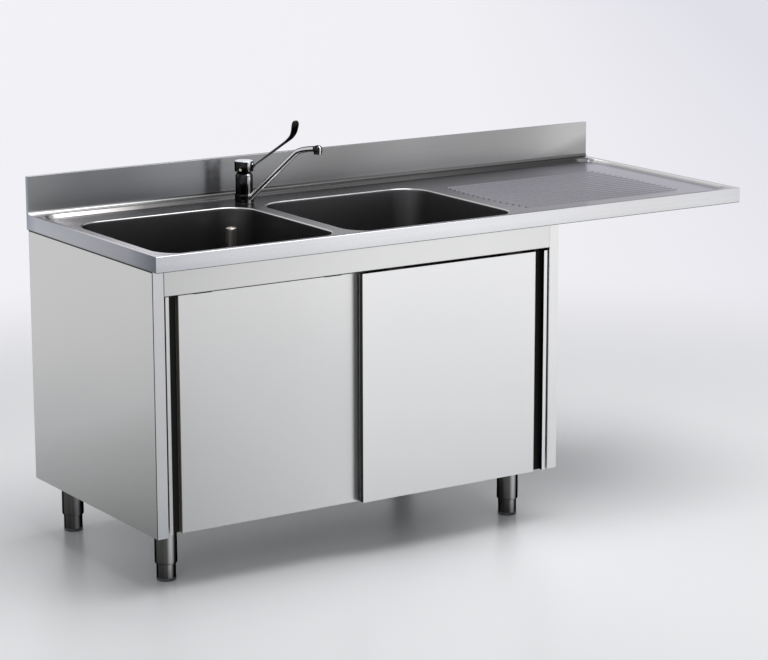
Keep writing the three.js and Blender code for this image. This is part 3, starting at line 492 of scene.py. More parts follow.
# Painted reflection: the apron lighter towards the middle of the front.
apron_steel = brushed("apron_steel", ALONG_X, 0.28, bump=0.03, fade=(X_AXIS, -0.9, 0.9, [
    (0.0, (0.6, 0.605, 0.64)), (0.12, (0.72, 0.73, 0.76)), (0.3, (0.84, 0.845, 0.87)),
    (0.5, (0.93, 0.935, 0.96)), (0.75, (0.86, 0.86, 0.88)), (1.0, (0.76, 0.765, 0.79))]))
# Painted reflection and shade: the left end face darker towards the front.
end_steel = brushed("end_steel", ALONG_Y, 0.32, fade=(Y_AXIS, -0.35, 0.35, [
    (0.0, (0.13, 0.14, 0.165)), (0.1, (0.21, 0.222, 0.25)), (0.2, (0.3, 0.31, 0.34)),
    (0.6, (0.4, 0.41, 0.45)), (0.92, (0.43, 0.44, 0.49)), (1.0, (0.28, 0.31, 0.38))]))
# Painted shade: a dark line along the underside of the apron's lower edge.
hem_shade_steel = brushed("hem_shade_steel", ALONG_X, 0.35, 0.12)
back_steel = brushed("back_steel", ALONG_X, 0.35, 0.5)
# Painted highlight: the bowls' lips lighter than their walls.
lip_highlight_steel = brushed("lip_highlight_steel", ALONG_X, 0.2, fade=(X_AXIS, -0.9, 0.25, [
    (0.0, 0.35), (0.25, 0.5), (0.5, 0.6), (1.0, 0.5)]))
# Painted shade and reflection: the bowls' steel near dark, a little lighter towards the right bowl.
bowl_steel = brushed("bowl_steel", (300, 300, 60), 0.3, streak=0.02, bump=0.0, cloudy=0.25,
                     vary=0.03, fade=(X_AXIS, -0.9, 0.2, [
                         (0.0, (0.15, 0.15, 0.152)), (0.5, (0.15, 0.15, 0.152)),
                         (0.65, (0.2, 0.198, 0.203)), (1.0, (0.25, 0.248, 0.255))]))
DOOR_FINISH = {"streak": 0.006, "bump": 0.0, "vary": 0.0, "cloudy": 0.02}
# Painted reflections and shade: the left door darker than the right, both darker towards the
# bottom, the left one also towards its left.
left_door_steel = brushed("left_door_steel", ALONG_Z, 0.28, **DOOR_FINISH, fade=(
    (0.95, 0, 1), -0.6, 0.4, [(0.0, 0.49), (0.45, 0.665), (0.75, 0.75), (1.0, 0.85)]))
right_door_steel = brushed("right_door_steel", ALONG_Z, 0.28, **DOOR_FINISH, fade=(
    (0.15, 0, 1), 0.1, 0.75, [(0.0, 0.68), (0.2, 0.77), (0.4, 0.84), (1.0, (0.93, 0.93, 0.94))]))
# Painted reflection: an olive, mostly unmetallic tone on the handle channel's far wall.
channel_reflection_steel = brushed("channel_reflection_steel", ALONG_Z, 0.45, (0.115, 0.108, 0.085), metal=0.25)
shade_steel = brushed("shade_steel", ALONG_Z, 0.4, (0.015, 0.015, 0.014))
# Painted reflection and shade: the side panels darker towards the bottom and the front.
side_steel = brushed("side_steel", ALONG_Z, 0.34, **DOOR_FINISH, fade=(
    (0, 0.35, 1), 0.05, 0.8, [(0.0, (0.27, 0.275, 0.265)), (0.34, (0.47, 0.47, 0.465)),
                              (0.45, 0.555), (0.73, 0.6), (1.0, 0.605)]))
# Painted reflection and shade: the posts darker towards the bottom, the left one darker than the
# right.
left_post_steel = brushed("left_post_steel", ALONG_Z, 0.32, streak=0.02, bump=0.02, fade=(
    Z_AXIS, 0.15, 0.81, [(0.0, (0.45, 0.465, 0.48)), (0.2, (0.56, 0.565, 0.57)),
                         (1.0, (0.66, 0.665, 0.68))]))
right_post_steel = brushed("right_post_steel", ALONG_Z, 0.32, streak=0.02, bump=0.02, fade=(
    Z_AXIS, 0.15, 0.81, [(0.0, 0.75), (0.3, 0.86), (0.6, 0.93), (1.0, 0.95)]))
# Painted reflection: the top rail lighter towards the right.
rail_steel = brushed("rail_steel", ALONG_X, 0.3, **DOOR_FINISH, fade=(
    X_AXIS, -0.87, 0.27, [(0.0, 0.6), (0.25, 0.72), (0.55, 0.83), (0.82, 0.865), (1.0, 0.83)]))
shelf_steel = brushed("shelf_steel", ALONG_X, 0.36, 0.5)
hidden_steel = brushed("hidden_steel", ALONG_X, 0.4, 0.4)
zinc = brushed("zinc", (60, 60, 60), 0.42, (0.5, 0.5, 0.47), streak=0.14)
# Painted shade: the door track and hangers dark, so the gap above the doors reads black.
track_shade_zinc = brushed("track_shade_zinc", (60, 60, 60), 0.45, (0.06, 0.06, 0.055), streak=0.14)
# Painted reflections: dark and bright bands round the feet.
foot_steel = chrome("foot_steel", [
    (0.0, (0.035, 0.036, 0.033)), (0.03, (0.08, 0.08, 0.075)), (0.13, (0.06, 0.06, 0.056)),
    (0.19, (0.09, 0.09, 0.085)), (0.215, 0.35), (0.25, 0.5), (0.28, 0.25), (0.3, 0.03),
    (0.42, 0.04), (0.5, 0.3), (0.7, 0.4), (0.88, 0.1), (0.94, 0.02)], rough=0.16)
pipe_steel = brushed("pipe_steel", ALONG_Z, 0.3, (0.8, 0.76, 0.7), bump=0.02)
# Painted reflections on the tap: dark and bright bands round its body, collar, cap and outlet.
chrome_bands = chrome("chrome_bands", [
    (0.0, 0.01), (0.03, 0.1), (0.055, 0.012), (0.15, 0.03), (0.225, 0.012), (0.243, 0.85),
    (0.278, 0.9), (0.295, 0.05), (0.36, 0.12), (0.395, 0.02), (0.45, 0.7), (0.6, 0.75),
    (0.66, 0.08), (0.74, 0.6), (0.85, 0.8), (0.9, 0.12), (1.0, 0.01)], rough=0.14)
# Painted reflections along the spout: bands round the tube's own axis.
SPOUT_AXIS = Matrix.Rotation(SPOUT_TURN, 3, "Z") @ Vector((145, 0, 130)).normalized()
SPOUT_SIDE = Vector((0, 0, 1)).cross(SPOUT_AXIS).normalized()
chrome_spout = chrome("chrome_spout", [
    (0.0, 0.5), (0.018, 0.04), (0.075, 0.03), (0.1, 0.75), (0.19, 0.9), (0.215, 0.04), (0.33, 0.05),
    (0.4, 0.5), (0.66, 0.6), (0.78, 0.05), (0.865, 0.06), (0.885, 0.55), (0.93, 0.6), (0.985, 0.6)],
    tuple(SPOUT_SIDE), tuple(SPOUT_AXIS.cross(SPOUT_SIDE)), 0.1)
# Painted reflection of a pale bluish sky, for faces that look up.
chrome_sky_reflection = chrome("chrome_sky_reflection", [
    (0.0, (0.66, 0.69, 0.76)), (0.3, (0.8, 0.83, 0.9)), (0.6, (0.6, 0.63, 0.7)),
    (1.0, (0.66, 0.69, 0.76))], edge=1.0)
# Painted reflection: the lever darker towards the top, the paddle near black as a dark reflection.
lever_chrome = brushed("lever_chrome", (30, 30, 30), 0.08, streak=0.1, bump=0.0, fade=(
    Z_AXIS, 0.94, 1.02, [(0.0, 0.4), (0.3, 0.2), (0.7, 0.05), (1.0, 0.015)]))
rubber = moulded("rubber", 0.02, 0.6)
nylon = moulded("nylon", (0.6, 0.6, 0.56), 0.45)
nylon_dark = moulded("nylon_dark", 0.06, 0.5)
index_cream = moulded("index_cream", (0.9, 0.86, 0.62), 0.3)

# ---------------------------------------------------------------- worktop


def strip(bm, profile, x0, x1):
    """A sheet along X through (y, z) points."""
    rows = [[bm.verts.new(Vector((x, y, z)) * MM) for y, z in profile] for x in (x0, x1)]
    for i in range(len(profile) - 1):
        bm.faces.new((rows[0][i], rows[0][i + 1], rows[1][i + 1], rows[1][i]))


def recess_ring(inset, z):
    x0, x1, y0, y1 = RECESS
    return at_height(frame_ring(x0 + inset, x1 - inset, y0 + inset, y1 - inset,
                                RECESS_CORNER - inset, 16), z)


def bowl_ring(i, inset, z):
    half = BOWL_HALF + BOWL_LIP - inset
    return at_height(frame_ring(BOWL_X[i] - half, BOWL_X[i] + half, BOWL_Y - half, BOWL_Y + half,
                                BOWL_CORNER + BOWL_LIP - inset, 16), z)


def flat(ring):
    return [Vector((p.x, p.y)) for p in ring]


def worktop():
    bm = bmesh.new()
    cove_start = UPSTAND_FACE - COVE
    front = [(FRONT, APRON_BOTTOM), (FRONT, WORKTOP)]
    rear = [(cove_start + COVE * math.sin(a), WORKTOP + COVE * (1 - math.cos(a)))
            for a in quarter(8)]
    rear += [(UPSTAND_FACE, UPSTAND_TOP), (BACK, UPSTAND_TOP), (BACK, APRON_BOTTOM)]
    strip(bm, front, LEFT, RIGHT)
    strip(bm, rear, LEFT, RIGHT)
    add_flat(bm, box(LEFT, RIGHT, FRONT, cove_start), [flat(recess_ring(0, 0))], WORKTOP)
    steps = 12
    rings = [recess_ring(RECESS_SLOPE * s / steps,
                         WORKTOP - (WORKTOP - DECK) * (1 - math.cos(math.pi * s / steps)) / 2)
             for s in range(steps + 1)]
    add_rings(bm, rings)
    holes = [flat(bowl_ring(i, 0, 0)) for i in (0, 1)] + [circle(TAP_X, TAP_Y, 17.5, 48)]
    add_flat(bm, flat(rings[-1]), holes, DECK)
    for x in (LEFT, RIGHT):
        bm.faces.new([bm.verts.new(Vector((x, y, z)) * MM) for y, z in front + rear])
    mouth = box(LEFT + RETURN_FLANGE, RIGHT - RETURN_FLANGE, FRONT + RETURN_FLANGE, UPSTAND_FACE)
    add_flat(bm, box(LEFT, RIGHT, FRONT, BACK), [mouth], APRON_BOTTOM)
    weld(bm)
    facing(bm, Vector((0, 0, 1)), lambda f: abs(f.calc_center_median().z - DECK * MM) < 1e-5)
    piece = new_object("worktop_skin", bm, rim_steel, 0)
    # Each zone's steel carries that part's painted reflections and shade.
    zones = [rim_steel, rear_rim_steel, cove_steel, rear_slope_steel, side_rim_steel, deck_steel,
             upstand_steel, apron_steel, end_steel, back_steel, hem_shade_steel]
    for material in zones[1:]:
        piece.data.materials.append(material)
    for face in piece.data.polygons:
        face.material_index = zones.index(worktop_zone(face))
    thickened(piece, TOP_SHEET, TOP_EDGE)
    # The downward faces along the apron's lower edge take the painted shade line.
    for face in piece.data.polygons:
        if face.center.z < (APRON_BOTTOM + TOP_EDGE) * MM and face.normal.z < -0.2:
            face.material_index = zones.index(hem_shade_steel)
    finish_piece(smoothed(piece, 30), "unit_frame", "worktop_steel", "worktop")


def worktop_zone(face):
    x, y, z = face.center / MM
    if x < LEFT + 1:
        return end_steel
    if x > RIGHT - 1 or y < FRONT + 1:
        return apron_steel
    if y > BACK - 1 or z < APRON_BOTTOM + 1:
        return back_steel
    if z > UPSTAND_TOP - 1:
        return rim_steel
    if z > WORKTOP + COVE:
        return upstand_steel
    if z > DECK + 0.6:
        if abs(x) > SIDE_RIM_X:
            return side_rim_steel
        if y < REAR_RIM_Y:
            return rim_steel
        if z > WORKTOP + 0.2:
            return cove_steel
        return rear_rim_steel if z > WORKTOP - 0.4 else rear_slope_steel
    return deck_steel


worktop()

# ---------------------------------------------------------------- drainer ribs


def math_node(tree, operation, *values):
    node = tree.nodes.new("ShaderNodeMath")
    node.operation = operation
    for socket, value in zip(node.inputs, values):
        if isinstance(value, bpy.types.NodeSocket):
            tree.links.new(value, socket)
        else:
            socket.default_value = value
    return node.outputs[0]


def named_inputs(tree, **defaults):
    for name, default in defaults.items():
        kind = "NodeSocketInt" if isinstance(default, int) else "NodeSocketFloat"
        socket = tree.interface.new_socket(name, in_out="INPUT", socket_type=kind)
        socket.default_value = default
    tree.interface.new_socket("Material", in_out="INPUT", socket_type="NodeSocketMaterial")
    tree.interface.new_socket("Geometry", in_out="OUTPUT", socket_type="NodeSocketGeometry")
    return tree.nodes.new("NodeGroupInput").outputs


def end_of_tree(tree, geometry_out, material):
    solid = result(tree, "GeometryNodeRealizeInstances", {"Geometry": geometry_out})
    painted = result(tree, "GeometryNodeSetMaterial", {
        "Geometry": solid, "Material": material})
    tree.links.new(painted, tree.nodes.new("NodeGroupOutput").inputs[0])


def grown(name, tree, material, **values):
    """A piece made by a node tree, with its inputs set by name."""
    piece = bpy.data.objects.new(name, bpy.data.meshes.new(name))
    bpy.context.scene.collection.objects.link(piece)
    maker = piece.modifiers.new("maker", "NODES")
    maker.node_group = tree
    values["Material"] = material
    for item in tree.interface.items_tree:
        if item.in_out == "INPUT" and item.name in values:
            maker[item.identifier] = values[item.name]
    return settle(piece)


def rib_tree():
    """Raised ribs with round ends, whose ends lie on two shallow curves."""
    tree = bpy.data.node_groups.new("drainer_ribs", "GeometryNodeTree")
    calc = functools.partial(math_node, tree)
    given = named_inputs(tree, **{
        "Count": RIB_COUNT, "Pitch": RIB_PITCH * MM, "Width": RIB_WIDTH * MM,
        "Height": RIB_HEIGHT * MM, "Start": RIB_START * MM, "End": RIB_END * MM,
        "Start Bow": RIB_START_BOW * MM, "End Bow": RIB_END_BOW * MM,
        "Middle Y": RIB_MIDDLE_Y * MM, "Deck": DECK * MM, "Sunk": RIB_SUNK * MM})
    row = result(tree, "GeometryNodeMeshLine", {"Count": given["Count"], "Offset": (0, 1, 0)})
    sheet = result(tree, "GeometryNodeMeshGrid", {
        "Size X": 1.0, "Size Y": 1.0, "Vertices X": 220, "Vertices Y": 15})
    copies = result(tree, "GeometryNodeInstanceOnPoints", {"Points": row, "Instance": sheet})
    index = result(tree, "GeometryNodeInputIndex")
    marked = result(tree, "GeometryNodeStoreNamedAttribute", {
        "Geometry": copies, "Name": "rib", "Value": index}, data_type="FLOAT", domain="INSTANCE")
    solid = result(tree, "GeometryNodeRealizeInstances", {"Geometry": marked})
    rib = result(tree, "GeometryNodeInputNamedAttribute", {"Name": "rib"}, data_type="FLOAT")
    spot = result(tree, "GeometryNodeInputPosition")
    x, y, _ = add(tree, "ShaderNodeSeparateXYZ", {"Vector": spot}).outputs
    half_count = calc("DIVIDE", calc("SUBTRACT", given["Count"], 1), 2.0)
    away = calc("SUBTRACT", rib, half_count)
    ratio = calc("DIVIDE", away, half_count)
    bow = calc("MULTIPLY", ratio, ratio)
    start = calc("MULTIPLY_ADD", given["Start Bow"], bow, given["Start"])
    end = calc("MULTIPLY_ADD", given["End Bow"], bow, given["End"])
    length = calc("SUBTRACT", end, start)
    half = calc("DIVIDE", given["Width"], 2.0)
    middle = calc("DIVIDE", calc("ADD", start, end), 2.0)
    # the sine makes the grid finer towards both ends of a rib
    turn = calc("MULTIPLY", calc("MULTIPLY", x, 2.0), math.pi / 2)
    along = calc("MULTIPLY", calc("DIVIDE", calc("SINE", turn), 2.0), length)
    across = calc("MULTIPLY", calc("SUBTRACT", y, rib), given["Width"])
    straight = calc("SUBTRACT", calc("DIVIDE", length, 2.0), half)
    past = calc("MAXIMUM", calc("SUBTRACT", calc("ABSOLUTE", along), straight), 0.0)
    square = calc("ADD", calc("MULTIPLY", past, past), calc("MULTIPLY", across, across))
    share = calc("MINIMUM", calc("DIVIDE", calc("SQRT", square), half), 1.0)
    wave = calc("MULTIPLY_ADD", calc("COSINE", calc("MULTIPLY", share, math.pi)), 0.5, 0.5)
    rise = calc("MULTIPLY", wave, calc("ADD", given["Height"], given["Sunk"]))
    top = calc("ADD", calc("SUBTRACT", given["Deck"], given["Sunk"]), rise)
    lane = calc("MULTIPLY_ADD", away, given["Pitch"], given["Middle Y"])
    goal = result(tree, "ShaderNodeCombineXYZ", {
        "X": calc("ADD", middle, along), "Y": calc("ADD", lane, across), "Z": top})
    shaped = result(tree, "GeometryNodeSetPosition", {"Geometry": solid, "Position": goal})
    end_of_tree(tree, shaped, given["Material"])
    return tree


ribs = grown("drainer_ribs", rib_tree(), rib_steel)
for finish in (rib_shade_steel, rib_end_highlight_steel):
    ribs.data.materials.append(finish)
# Painted light by facing: the left ends take the painted highlight, the front slopes and right ends
# the painted shade.
for face in ribs.data.polygons:
    if face.normal.x < -0.06:
        face.material_index = 2
    elif face.normal.y < -0.22 or face.normal.x > 0.12:
        face.material_index = 1
finish_piece(smoothed(ribs, 60), "unit_frame", "worktop_steel")

# ---------------------------------------------------------------- bowls and drains


def bowl(i, name):
    bm = bmesh.new()
    lip = [(BOWL_LIP * math.sin(a), DECK - BOWL_LIP * (1 - math.cos(a)))
           for a in quarter(6)]
    wall = BOWL_LIP + BOWL_DRAFT
    wall_height = DECK - BOWL_LIP - BOWL_FLOOR - BOWL_FILLET
    drop = [(BOWL_LIP + BOWL_DRAFT * t, DECK - BOWL_LIP - wall_height * t)
            for t in (0.02, 0.35, 0.7)]
    floor = [(wall + BOWL_FILLET * (1 - math.cos(a)), BOWL_FLOOR + BOWL_FILLET * (1 - math.sin(a)))
             for a in quarter(8)]
    rings = [bowl_ring(i, inset, z) for inset, z in lip + drop + floor]
    add_rings(bm, rings)
    x, y = DRAIN_X[i], DRAIN_Y
    seat = [(DRAIN_SEAT_R + 3, BOWL_FLOOR), (DRAIN_SEAT_R + 1.6, BOWL_FLOOR - 0.5),
            (DRAIN_SEAT_R + 0.5, BOWL_FLOOR - 1.6), (DRAIN_SEAT_R, BOWL_FLOOR - 3),
            (DRAIN_SEAT_R, DRAIN_SEAT), (DRAIN_HOLE_R, DRAIN_SEAT)]
    add_flat(bm, flat(rings[-1]), [circle(x, y, seat[0][0], 72)], BOWL_FLOOR)
    add_turned(bm, seat, x, y)
    weld(bm)
    facing(bm, Vector((0, 0, 1)), lambda f: abs(f.calc_center_median().z - BOWL_FLOOR * MM) < 1e-5)
    piece = new_object(name + "_skin", bm, bowl_steel, 0)
    piece.data.materials.append(lip_highlight_steel)
    # The lip faces take the painted highlight.
    for face in piece.data.polygons:
        face.material_index = int(face.center.z / MM > DECK - BOWL_LIP * 0.8)
    thickened(piece, BOWL_SHEET)
    finish_piece(smoothed(piece, 40), "unit_frame", "bowl_steel", name)


def drain(i, side):
    profile = eased([(20, 460, 0.6), (25.5, 460, 0.6), (25.5, 536.5, 0), (44, 536.5, 0.6),
                     (44, 538.3, 0.5), (25, 538.5, 3), (20, 530, 1)])
    piece = turned_piece(side + "_drain_skin", profile, pipe_steel, DRAIN_X[i], DRAIN_Y)
    finish_piece(piece, "unit_frame", "bowl_steel", side + "_drain_body")


for i, side in enumerate(("left", "right")):
    bowl(i, side + "_bowl")
    drain(i, side)

# ---------------------------------------------------------------- doors


def door_outline(toward, end, face):
    """The section of a door, from its handle end: flange, channel, fold, face and back."""
    wall = FLANGE + CHANNEL
    points = [(0, 0, 1.5), (FLANGE, 0, 1.5), (FLANGE, CHANNEL_DEPTH, 0.8), (22, CHANNEL_DEPTH, 0),
              (wall, CHANNEL_DEPTH, 0.8), (wall, 0, CHANNEL_FOLD), (DOOR_WIDTH, 0, 1.5),
              (DOOR_WIDTH, DOOR_DEPTH, 0), (0, DOOR_DEPTH, 0)]
    return rounded([(end - toward * s, face + d, r) for s, d, r in points], 6)


def door(side, toward, end, face, steel):
    outline = door_outline(toward, end, face)
    bm = bmesh.new()
    add_rings(bm, [at_height(outline, z) for z in (DOOR_BOTTOM, DOOR_TOP)])
    near, far = sorted(end - toward * s for s in GUIDE_SLOT_LENGTH)
    slot = box(near, far, *(face + d for d in GUIDE_SLOT_DEPTH))
    add_flat(bm, outline, [], DOOR_TOP)
    add_flat(bm, outline, [slot], DOOR_BOTTOM)
    weld(bm)
    facing(bm, Vector((0, -1, 0)), lambda f: abs(f.calc_center_median().y - face * MM) < 1e-5)
    piece = new_object(side + "_door_shell", bm, steel, 0)
    piece.data.materials.append(channel_reflection_steel)
    piece.data.materials.append(shade_steel)
    wall = FLANGE + CHANNEL
    # Painted light: the channel's far wall takes the olive painted reflection; its floor and flange
    # side, the far end and the top take the painted shade.
    for f in piece.data.polygons:
        x, y, z = f.center / MM
        s = (end - x) * toward
        upright = DOOR_BOTTOM + 1 < z < DOOR_TOP - 1
        if upright and FLANGE - 1 < s < wall + 2.5 and y > face + 1:
            f.material_index = 1 if s > wall - 0.5 else 2
        if (upright and s > DOOR_WIDTH - 0.5) or z > DOOR_TOP - 1:
            f.material_index = 2
    finish_piece(smoothed(piece, 30), side + "_door", "panel_steel", side + "_door_skin")


door("right", 1, 264.5, -330, right_door_steel)
door("left", -1, -855, -308.5, left_door_steel)

# ---------------------------------------------------------------- tap


def tap_turned(node, profile):
    bm = bmesh.new()
    add_turned(bm, eased(profile), 0, 0, 96)
    weld(bm)
    put_on_tap(bm, 0)
    piece = new_object(node + "_skin", bm, chrome_bands, 32)
    sky_reflection_on_tops(piece)
    finish_piece(piece, "unit_frame", "tap_chrome", node)


def sky_reflection_on_tops(piece):
    """Gives faces that look up a painted reflection of a pale sky in place of the bands."""
    piece.data.materials.append(chrome_sky_reflection)
    for face in piece.data.polygons:
        if face.normal.z > 0.6:
            face.material_index = 1


tap_turned("tap_body", [
    (0.01, -45, 0), (15, -45, 0.8), (15, 1.5, 0), (25, 1.5, 0.2), (25, 3.3, 0.6), (20, 3.3, 0.5),
    (20, 21.85, 0), (23, 21.85, 0.5), (23, 71.8, 0.4), (15.3, 71.8, 0.3), (15.3, 48, 0),
    (0.01, 48, 0)])
tap_turned("cartridge_cover", [
    (15.3, 71.8, 0.2), (23, 71.8, 0.3), (23, 74.5, 3), (15.5, 85.4, 4), (15.3, 85.4, 0)])


def swept(bm, centres, radii):
    """A round bar along points in the XZ plane, closed at both ends."""
    rings = []
    for k, (x, z) in enumerate(centres):
        before = centres[max(k - 1, 0)]
        after = centres[min(k + 1, len(centres) - 1)]
        tangent = Vector((after[0] - before[0], 0, after[1] - before[1])).normalized()
        normal = Vector((-tangent.z, 0, tangent.x))
        rings.append([Vector((x, 0, z)) + radii[k] * (c * normal + s * Vector((0, 1, 0)))
                      for c, s in turns(40)])
    add_bar(bm, rings)


def bezier(a, b, c, t):
    return tuple(a[k] * (1 - t) ** 2 + 2 * b[k] * t * (1 - t) + c[k] * t * t for k in (0, 1))


def spout():
    bm = bmesh.new()
    start, bend, handle, tip = (21.4, 16.4), (166, 146), (181, 159.4), (OUTLET_REACH, 163.5)
    line = [(start[0] + (bend[0] - start[0]) * t, start[1] + (bend[1] - start[1]) * t)
            for t in (0, 0.03, 0.06, 0.1, 0.15, 0.3, 0.5, 0.7, 0.9)]
    curve = [bezier(bend, handle, tip, k / 20) for k in range(21)]
    radii = [9.5, 8.9, 8.3, 7.8] + [7.5] * 26
    swept(bm, line + curve, radii)
    add_turned(bm, eased([(20.25, 3.55, 0.2), (COLLAR_RADIUS, 3.55, 0.7),
                          (COLLAR_RADIUS, COLLAR_TOP, 0.7), (20.25, COLLAR_TOP, 0.2)]))
    add_turned(bm, eased([(0.01, 155.5, 0), (11.8, 155.5, 0.3), (12, 166.5, 4), (6, 172.5, 5),
                          (0.01, 172.5, 0)]), OUTLET_REACH)
    weld(bm)
    put_on_tap(bm, SPOUT_TURN)
    piece = new_object("spout_skin", bm, chrome_spout, 32)
    piece.data.materials.append(chrome_bands)
    # The collar and the outlet take the tap body's painted bands.
    for face in piece.data.polygons:
        reach = (face.center.xy / MM - Vector((TAP_X, TAP_Y))).length
        height = face.center.z / MM - DECK
        collar = reach < COLLAR_RADIUS + 0.2 and height < COLLAR_TOP + 0.35
        face.material_index = int(collar or reach > OUTLET_REACH - 11.5)
    finish_piece(piece, "tap_spout", "tap_chrome", "spout")
    bm = bmesh.new()
    add_turned(bm, eased([(0.01, 152, 0), (8, 152, 0), (8.6, 149.5, 0.2), (10.3, 149.5, 0.5),
                          (11, 150.5, 0.5), (11, 155.5, 0), (0.01, 155.5, 0)]), OUTLET_REACH)
    weld(bm)
    put_on_tap(bm, SPOUT_TURN)
    piece = new_object("aerator_skin", bm, chrome_bands, 32)
    finish_piece(piece, "tap_spout", "tap_chrome", "aerator")


spout()

# distance from the axis, height, half width, half thickness, slope in degrees
LEVER_SECTIONS = [
    (25.05, 100.1, 3.4, 3.4, 34), (60, 123.7, 3.4, 3.4, 34), (90, 143.9, 3.4, 3.4, 34),
    (112, 159.4, 3.4, 3.4, 34), (133, 174.6, 4.2, 4.0, 38), (147, 187.0, 6.5, 6.0, 49),
    (154.5, 200, 9.5, 8.0, 66), (158, 213, 11.5, 8.8, 78), (159.8, 223, 11.5, 8.6, 84),
    (160.4, 228.5, 8.5, 6.0, 86), (160.6, 230.5, 4.0, 2.5, 87)]


def between(points, t, k):
    """A smooth value between points k and k + 1."""
    p0, p1 = points[max(k - 1, 0)], points[k]
    p2, p3 = points[k + 1], points[min(k + 2, len(points) - 1)]
    return tuple(0.5 * (2 * b + (c - a) * t + (2 * a - 5 * b + 4 * c - d) * t * t
                        + (3 * b - a - 3 * c + d) * t ** 3) for a, b, c, d in zip(p0, p1, p2, p3))


def lever():
    bm = bmesh.new()
    steps = 6
    sections = [between(LEVER_SECTIONS, j / steps, k)
                for k in range(len(LEVER_SECTIONS) - 1) for j in range(steps)]
    sections.append(LEVER_SECTIONS[-1])
    rings = []
    for x, z, half, thick, angle in sections:
        tilt = math.radians(angle)
        rings.append([Vector((x - thick * c * math.sin(tilt), half * s,
                              z + thick * c * math.cos(tilt))) for c, s in turns(40)])
    add_bar(bm, rings)
    weld(bm)
    put_on_tap(bm, LEVER_TURN)
    finish_piece(new_object("lever_skin", bm, lever_chrome, 40), "tap_lever", "tap_chrome", "lever")


def lever_cap():
    bm = bmesh.new()
    add_turned(bm, eased([(22.5, 85.5, 0.2), (25, 85.5, 0.6), (25, 113.5, 3.2), (0.01, 113.5, 0),
                          (0.01, 109.5, 0), (22.5, 109.5, 0)]), 0, 0, 96)
    axis = Vector((math.cos(LEVER_SLOPE), 0, math.sin(LEVER_SLOPE)))
    up = Vector((-axis.z, 0, axis.x))
    root = Vector((19, 0, 96))
    profile = [(3.7, 4.5), (6, 4.5), (6, 14.4), (5.4, 15), (3.7, 15), (3.7, 4.5)]
    add_rings(bm, [[root + axis * along + r * (c * up + s * Vector((0, 1, 0)))
                    for c, s in turns(48)] for r, along in profile])
    weld(bm)
    put_on_tap(bm, LEVER_TURN)
    piece = new_object("lever_cap_skin", bm, chrome_bands, 32)
    sky_reflection_on_tops(piece)
    finish_piece(piece, "tap_lever", "tap_chrome", "lever_cap")


def index_dot():
    bm = bmesh.new()
    profile = [(0.01, 24.2), (3.9, 24.2), (3.9, 24.9), (3.3, 25.15), (0.01, 25.3)]
    add_rings(bm, [[Vector((out, r * c, INDEX_HEIGHT + r * s)) for c, s in turns(32)]
                   for r, out in profile])
    weld(bm)
    put_on_tap(bm, LEVER_TURN + INDEX_TURN)
    finish_piece(new_object("index_dot", bm, index_cream, 40), "tap_lever", "nylon")


lever()
lever_cap()
index_dot()

# ---------------------------------------------------------------- overflow pipe and feet


def overflow_pipe():
    x, y = DRAIN_X[0], DRAIN_Y
    pipe = eased([(12, 511.5, 0.3), (13.5, 511.5, 0.3), (13.5, 796, 0.5), (14.3, 797.5, 0.4),
                  (14.3, 799.2, 0.4), (13.5, 800, 0.4), (12, 800, 0.4)])
    finish_piece(turned_piece("overflow_pipe_skin", pipe, pipe_steel, x, y),
                 "overflow_pipe", "tube_steel", "standpipe")
    plug = eased([(13.7, 518.5, 0.3), (19.7, 518.5, 0.8), (19.7, 530.3, 0.5), (23.5, 537.3, 0.8),
                  (23.5, 541.3, 0.8), (15.7, 543.3, 1), (13.7, 543.3, 0)])
    finish_piece(turned_piece("overflow_plug_skin", plug, rubber, x, y),
                 "overflow_pipe", "rubber", "standpipe_plug")


def foot(name, x, y):
    sleeve = eased([(0.01, 140, 0), (25, 140, 0.5), (25, 44, 0.4), (27, 44, 0.6), (28.5, 47, 1.5),
                    (28.5, 150, 0.3), (6, 150, 0), (6, 168, 0.6), (0.01, 168, 0)])
    finish_piece(turned_piece(name + "_foot_sleeve_skin", sleeve, foot_steel, x, y, 96),
                 "unit_frame", "tube_steel", name + "_foot_sleeve")
    tube = eased([(23.3, 8, 0.2), (24.5, 8, 0.4), (24.5, 110, 0.4), (23.3, 110, 0.2)])
    finish_piece(turned_piece(name + "_foot_tube_skin", tube, foot_steel, x, y, 96),
                 name + "_foot", "tube_steel", name + "_foot_tube")
    pad = eased([(0.01, 0, 0), (23.5, 0, 0.5), (24.8, 1.5, 0.8), (24.8, 8, 0.4), (23.2, 8, 0),
                 (23.2, 20, 0.5), (0.01, 20, 0)])
    finish_piece(turned_piece(name + "_foot_pad_skin", pad, nylon_dark, x, y, 96),
                 name + "_foot", "nylon", name + "_foot_pad")


overflow_pipe()
for name, (x, y) in FEET.items():
    foot(name, x, y)

# ---------------------------------------------------------------- shadow strips along the seams, and fasteners


def shadow_strip(name, start, end, wide, thick):
    """Painted shadow in a seam's gap: a thin dark strip, rounded in section and at both ends."""
    start, end = Vector(start), Vector(end)
    length = (end - start).length
    along = (end - start).normalized()
    across = Vector((0, 1, 0)) if along.z else Vector((0, 0, 1))
    out = along.cross(across)
    ends = ((0, 0.05), (0.3, 0.7), (1, 1))
    steps = ends + tuple((length - place, share) for place, share in reversed(ends))
    bm = bmesh.new()
    add_bar(bm, [[start + along * place + share * (across * wide * c + out * thick * s)
                  for c, s in turns(16)] for place, share in steps])
    weld(bm)
    finish_piece(new_object(name, bm, rubber, 40), "unit_frame", "rubber")


